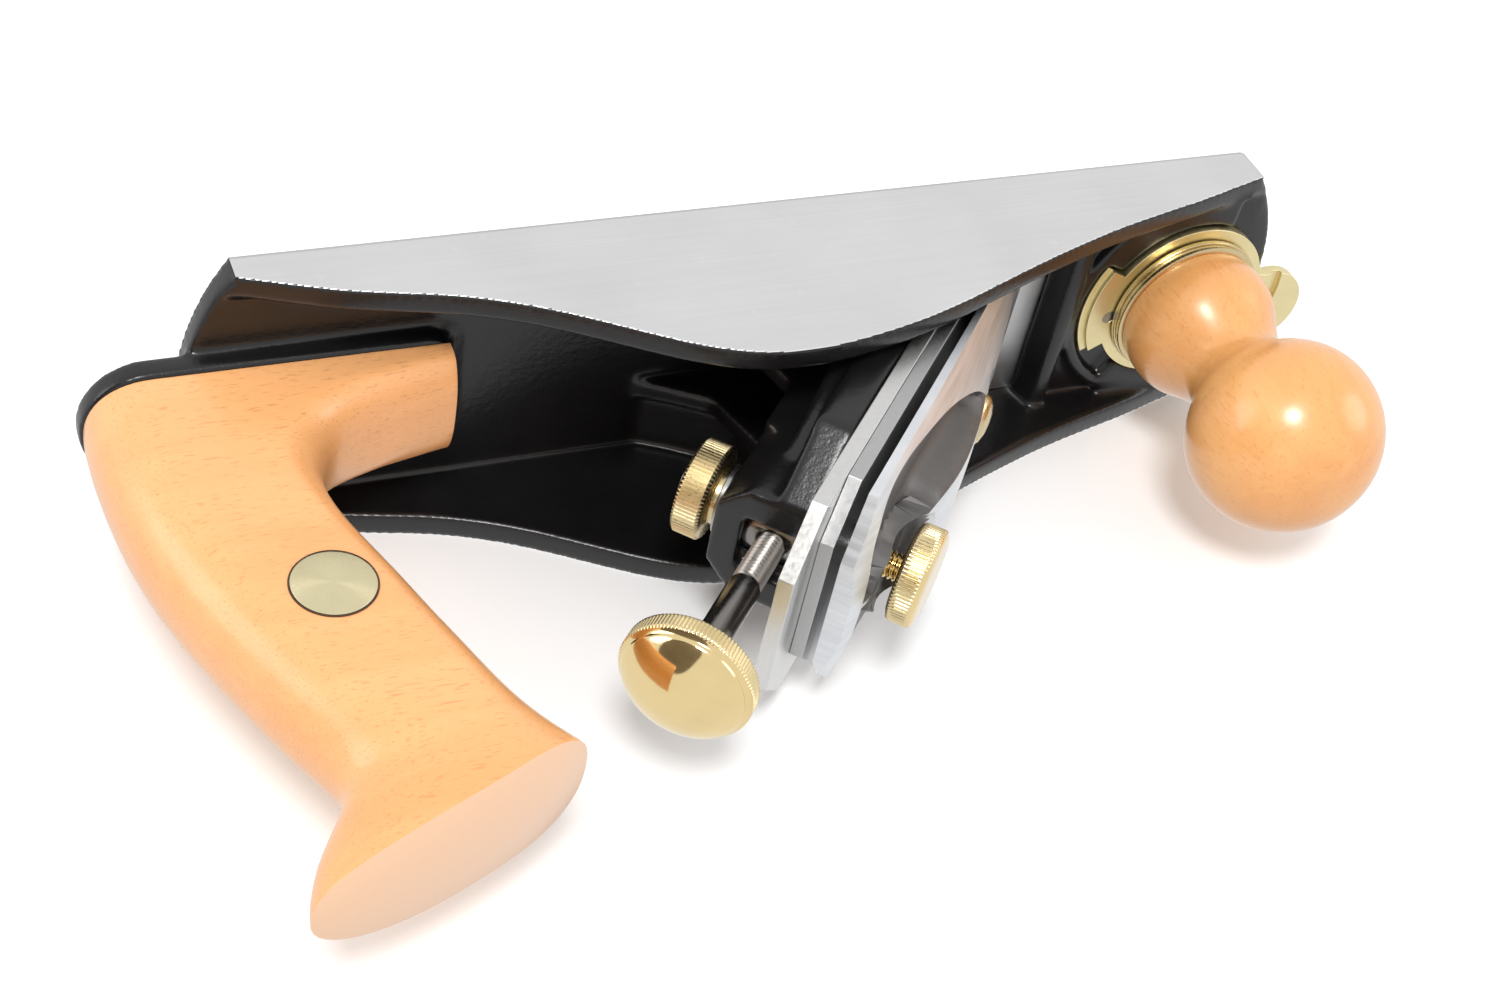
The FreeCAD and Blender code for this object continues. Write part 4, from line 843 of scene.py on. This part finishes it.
def make_lever_cap():
    outer = resample([(8.0, -24.9), (101.0, -24.9), (109.0, -13.6), (109.0, 13.6), (101.0, 24.9), (8.0, 24.9)], 1.2)
    n_out = len(spline(SCOOP, 5))
    scoop_r = np.vstack([spline(SCOOP, 5), spline(INNER, 4)])
    scoop_l = scoop_r * np.array([1, -1])
    key = [(KEY_S + SCREW_R * math.cos(a), SCREW_R * math.sin(a)) for a in np.linspace(-math.pi / 2, math.pi / 2, 13)]
    ang = math.asin(SCREW_R / HEAD_R)
    key += [(KEY_S - 8.0 + HEAD_R * math.cos(a), HEAD_R * math.sin(a)) for a in np.linspace(ang, 2 * math.pi - ang, 25)]
    key = np.array(key)
    bore = np.array([(90.0 + 3.05 * math.cos(a), 3.05 * math.sin(a)) for a in np.linspace(0, 2 * math.pi, 25)[:-1]])
    loops = [outer, scoop_r, scoop_l, key, bore]
    vin, edges = [], []
    for lp in loops:
        s0 = len(vin)
        vin += [Vector(q) for q in lp]
        edges += [(s0 + i, s0 + (i + 1) % len(lp)) for i in range(len(lp))]
    all_loops = np.vstack(loops)
    grid = []
    for i, s in enumerate(np.arange(8.9, 108.8, 1.05)):
        for y in np.arange(-24.3, 24.31, 1.08):
            q = np.array([s, y + (0.27 if i % 2 else -0.27)])
            if loop_dist(outer, q)[2] and np.min(np.hypot(*(all_loops - q).T)) > 0.55:
                grid.append(q)
    for sg in (1, -1):
        for off in (0.16, 0.36, 0.62, 0.95, 1.35):        # rings that follow the scoop's outer lip
            lip = spline(SCOOP, 5)
            tang = np.gradient(lip, axis=0)
            nrm = np.stack([tang[:, 1], -tang[:, 0]], 1)
            nrm /= np.linalg.norm(nrm, axis=1)[:, None]
            cand = lip + nrm * off
            for q in cand[::1]:
                dd, _, ins = loop_dist(scoop_r, q)
                if ins and dd.min() > off * 0.8:
                    grid.append(q * np.array([1, sg]))
    vin += [Vector(q) for q in grid]
    vo, eo, fo, ov, oe, of_ = delaunay_2d_cdt(vin, edges, [], 0, 1e-4)
    vo = np.array([tuple(v) for v in vo])
    floor = 10.9
    hts = np.zeros(len(vo))
    for i, (s, y) in enumerate(vo):
        h = cap_top(s, y)
        q = np.array([s, abs(y)])
        dd, _, ins = loop_dist(scoop_r, q)
        if ins and dd.min() > 0.02:
            d_out = dd[: n_out - 1].min()
            d_in = dd[n_out - 1:].min()
            r = math.hypot(s - 90.0, y)
            lip = 1.0 - math.exp(-(d_out / 0.95) ** 1.2)
            sweep = (1.0 - smooth(d_in / 5.2)) ** 1.5
            if r < 14.5:
                rise = 13.5 - floor
                sweep = max(sweep * smooth((r - 11.0) / 3.5), 1.0 - smooth((r - 8.6) / 2.6))
                if r > 11.0:
                    rise = rise + (max(0.0, cap_top(s, 0.0) - 13.5)) * smooth((r - 11.0) / 3.5)
            else:
                rise = cap_top(s, INNER[0][1]) - floor
            target = min(h, floor) + max(0.0, rise) * sweep
            h = min(h, h + (target - h) * lip)
        hts[i] = h
    faces, mats = [], []
    for f in fo:
        c = vo[list(f)].mean(axis=0)
        if not loop_dist(outer, c)[2] or loop_dist(key, c)[2] or loop_dist(bore, c)[2]:
            continue
        ins = loop_dist(scoop_r, np.array([c[0], abs(c[1])]))[2]
        faces.append(list(f))
        mats.append(1 if (ins or math.hypot(c[0] - 90.0, c[1]) < 11.6) else 0)
    verts = [B(q[0], hts[i], q[1]) for i, q in enumerate(vo)]
    nv = len(verts)
    for q in vo:                                        # recess round the bore that the thrust pad rises into
        r = math.hypot(q[0] - 90.0, q[1])
        verts.append(B(q[0], 8.3 + 0.8 * (1.0 - smooth((r - 5.2) / 1.3)), q[1]))
    allf, allm = list(faces), list(mats)
    for f in faces:
        allf.append([i + nv for i in reversed(f)])
        allm.append(0)
    count = {(a, b) for f in faces for a, b in zip(f, f[1:] + f[:1])}
    for a, b in sorted(count):
        if (b, a) not in count:
            allf.append([b, a, a + nv, b + nv])
            allm.append(0)
    ob = add_object("lever_cap_plate", verts, allf, ["cap", "scoop"], allm, sharp=30, body="lever_cap", stands=["lever_cap"], slot="lever_cap_steel")
    # nose that bears on the cap iron
    nose = [(8.02, 8.5), (8.02, 6.35), (9.2, 6.22), (12.6, 6.22), (14.2, 6.9), (16.5, 8.5)]
    v, f = [], []
    for y in (-24.4, 24.4):
        v += [B(s, n, y) for s, n in nose]
    k = len(nose)
    for i in range(k):
        f.append([i, (i + 1) % k, (i + 1) % k + k, i + k])
    f += [list(range(k))[::-1], list(range(k, 2 * k))]
    add_object("lever_cap_nose", v, f, ["cap"], None, 30, body="lever_cap", slot="lever_cap_steel")
    return ob


make_lever_cap()

# ------------------------------------------------- CAD nodes that stay as they are
paint("blade", "blade")
paint("cap_iron", "capiron")
paint("mouth_lever", "lever")
paint("toe_plate", "ground")
for n in ("handle_bolt", "handle_dowel", "knob_stud", "mouth_lever_pin", "cap_iron_screw", "post_washer", "clamp_pad"):
    paint(n, "bolt")
paint("adjuster_post", "rod")
paint("adjuster_carriage", "rod")
paint("lever_cap_screw", "turned")
paint("knob_insert", "turned")
crisp(nodes["blade"], 0.18)
crisp(nodes["cap_iron"], 0.18)
crisp(nodes["mouth_lever"], 0.22)
crisp(nodes["lever_cap_screw"], 0.2)
crisp(nodes["adjuster_post"], 0.3)

# -------------------------------------------------------------------- stage
t = Tree("table_white")
t.t.nodes.remove(t.b)
dif = t.new("ShaderNodeBsdfDiffuse")
dif.inputs[0].default_value = (0.93, 0.935, 0.94, 1)
tr = t.new("ShaderNodeBsdfTransparent")
geo = t.new("ShaderNodeNewGeometry")
mx = t.new("ShaderNodeMixShader")
t.t.links.new(geo.outputs["Backfacing"], mx.inputs[0])
t.t.links.new(dif.outputs[0], mx.inputs[1])
t.t.links.new(tr.outputs[0], mx.inputs[2])
t.t.links.new(mx.outputs[0], t.out.inputs[0])
me = bpy.data.meshes.new("table")
S = 6.0
me.from_pydata([(-S, -0.03195, S), (S, -0.03195, S), (S, -0.03195, -S), (-S, -0.03195, -S)], [], [(0, 1, 2, 3)])
me.materials.append(t.mat)
table = bpy.data.objects.new("table", me)
scene.collection.objects.link(table)
me.update()
if me.polygons[0].normal.y < 0:
    me.flip_normals()
table.visible_diffuse = False
table.visible_glossy = False
table.visible_transmission = False
table.visible_shadow = False

world = bpy.data.worlds.new("studio")
scene.world = world
world.use_nodes = True
bg = world.node_tree.nodes["Background"]
bg.inputs[0].default_value = (1.0, 1.0, 1.0, 1)
bg.inputs[1].default_value = 0.92

# a dark card off to the heel side, for the polished metal to mirror
t = Tree("dark_card")
cl = t.noise(t.scaled(3, 3, 3), 1.0, 3.0, 0.5)
t.set(color=t.mix(cl, (0.10, 0.085, 0.07), (0.22, 0.19, 0.16)), rough=0.9)
card_dir = Vector((-0.80, 0.48, 0.36)).normalized()
cu = card_dir.cross(Vector((0, 0, 1))).normalized()
cv = cu.cross(card_dir)
cc = Vector((-0.05, 0, 0.07)) + card_dir * 1.3
me = bpy.data.meshes.new("dark_card")
rim_pts = []
for k in range(40):
    an = 2 * math.pi * k / 40
    rim_pts.append(cc + cu * (0.78 * math.copysign(abs(math.cos(an)) ** 0.7, math.cos(an))) + cv * (0.55 * math.copysign(abs(math.sin(an)) ** 0.7, math.sin(an))))
me.from_pydata([tuple(q) for q in rim_pts], [], [tuple(range(40))])
me.materials.append(t.mat)
card = bpy.data.objects.new("dark_card", me)
scene.collection.objects.link(card)
card.visible_camera = False
card.visible_diffuse = False
card.visible_shadow = False
card.visible_transmission = False


def area(name, direction, dist, size, watts, color=(1, 1, 1), size_y=None, target=(0.0, 0.0, 0.035)):
    ld = bpy.data.lights.new(name, "AREA")
    ld.shape = "DISK" if size_y is None else "RECTANGLE"
    ld.size = size
    if size_y is not None:
        ld.size_y = size_y
    ld.energy = watts
    ld.color = color
    ob = bpy.data.objects.new(name, ld)
    scene.collection.objects.link(ob)
    dvec = Vector(direction).normalized()
    ob.location = Vector(target) + dvec * dist
    ob.rotation_mode = "QUATERNION"
    ob.rotation_quaternion = dvec.to_track_quat("Z", "Y")
    return ob


up = -DOWN
area("key", -AHEAD * math.cos(math.radians(17)) + up * math.sin(math.radians(17)) + RIGHT * 0.06, 1.5, 0.42, 13.0)
area("fill_left", -AHEAD * 0.45 - RIGHT * 0.8 + up * 0.35, 1.7, 1.0, 5.0)
area("rim_right", -AHEAD * 0.15 + RIGHT * 0.95 + up * 0.25, 1.7, 0.9, 4.0)
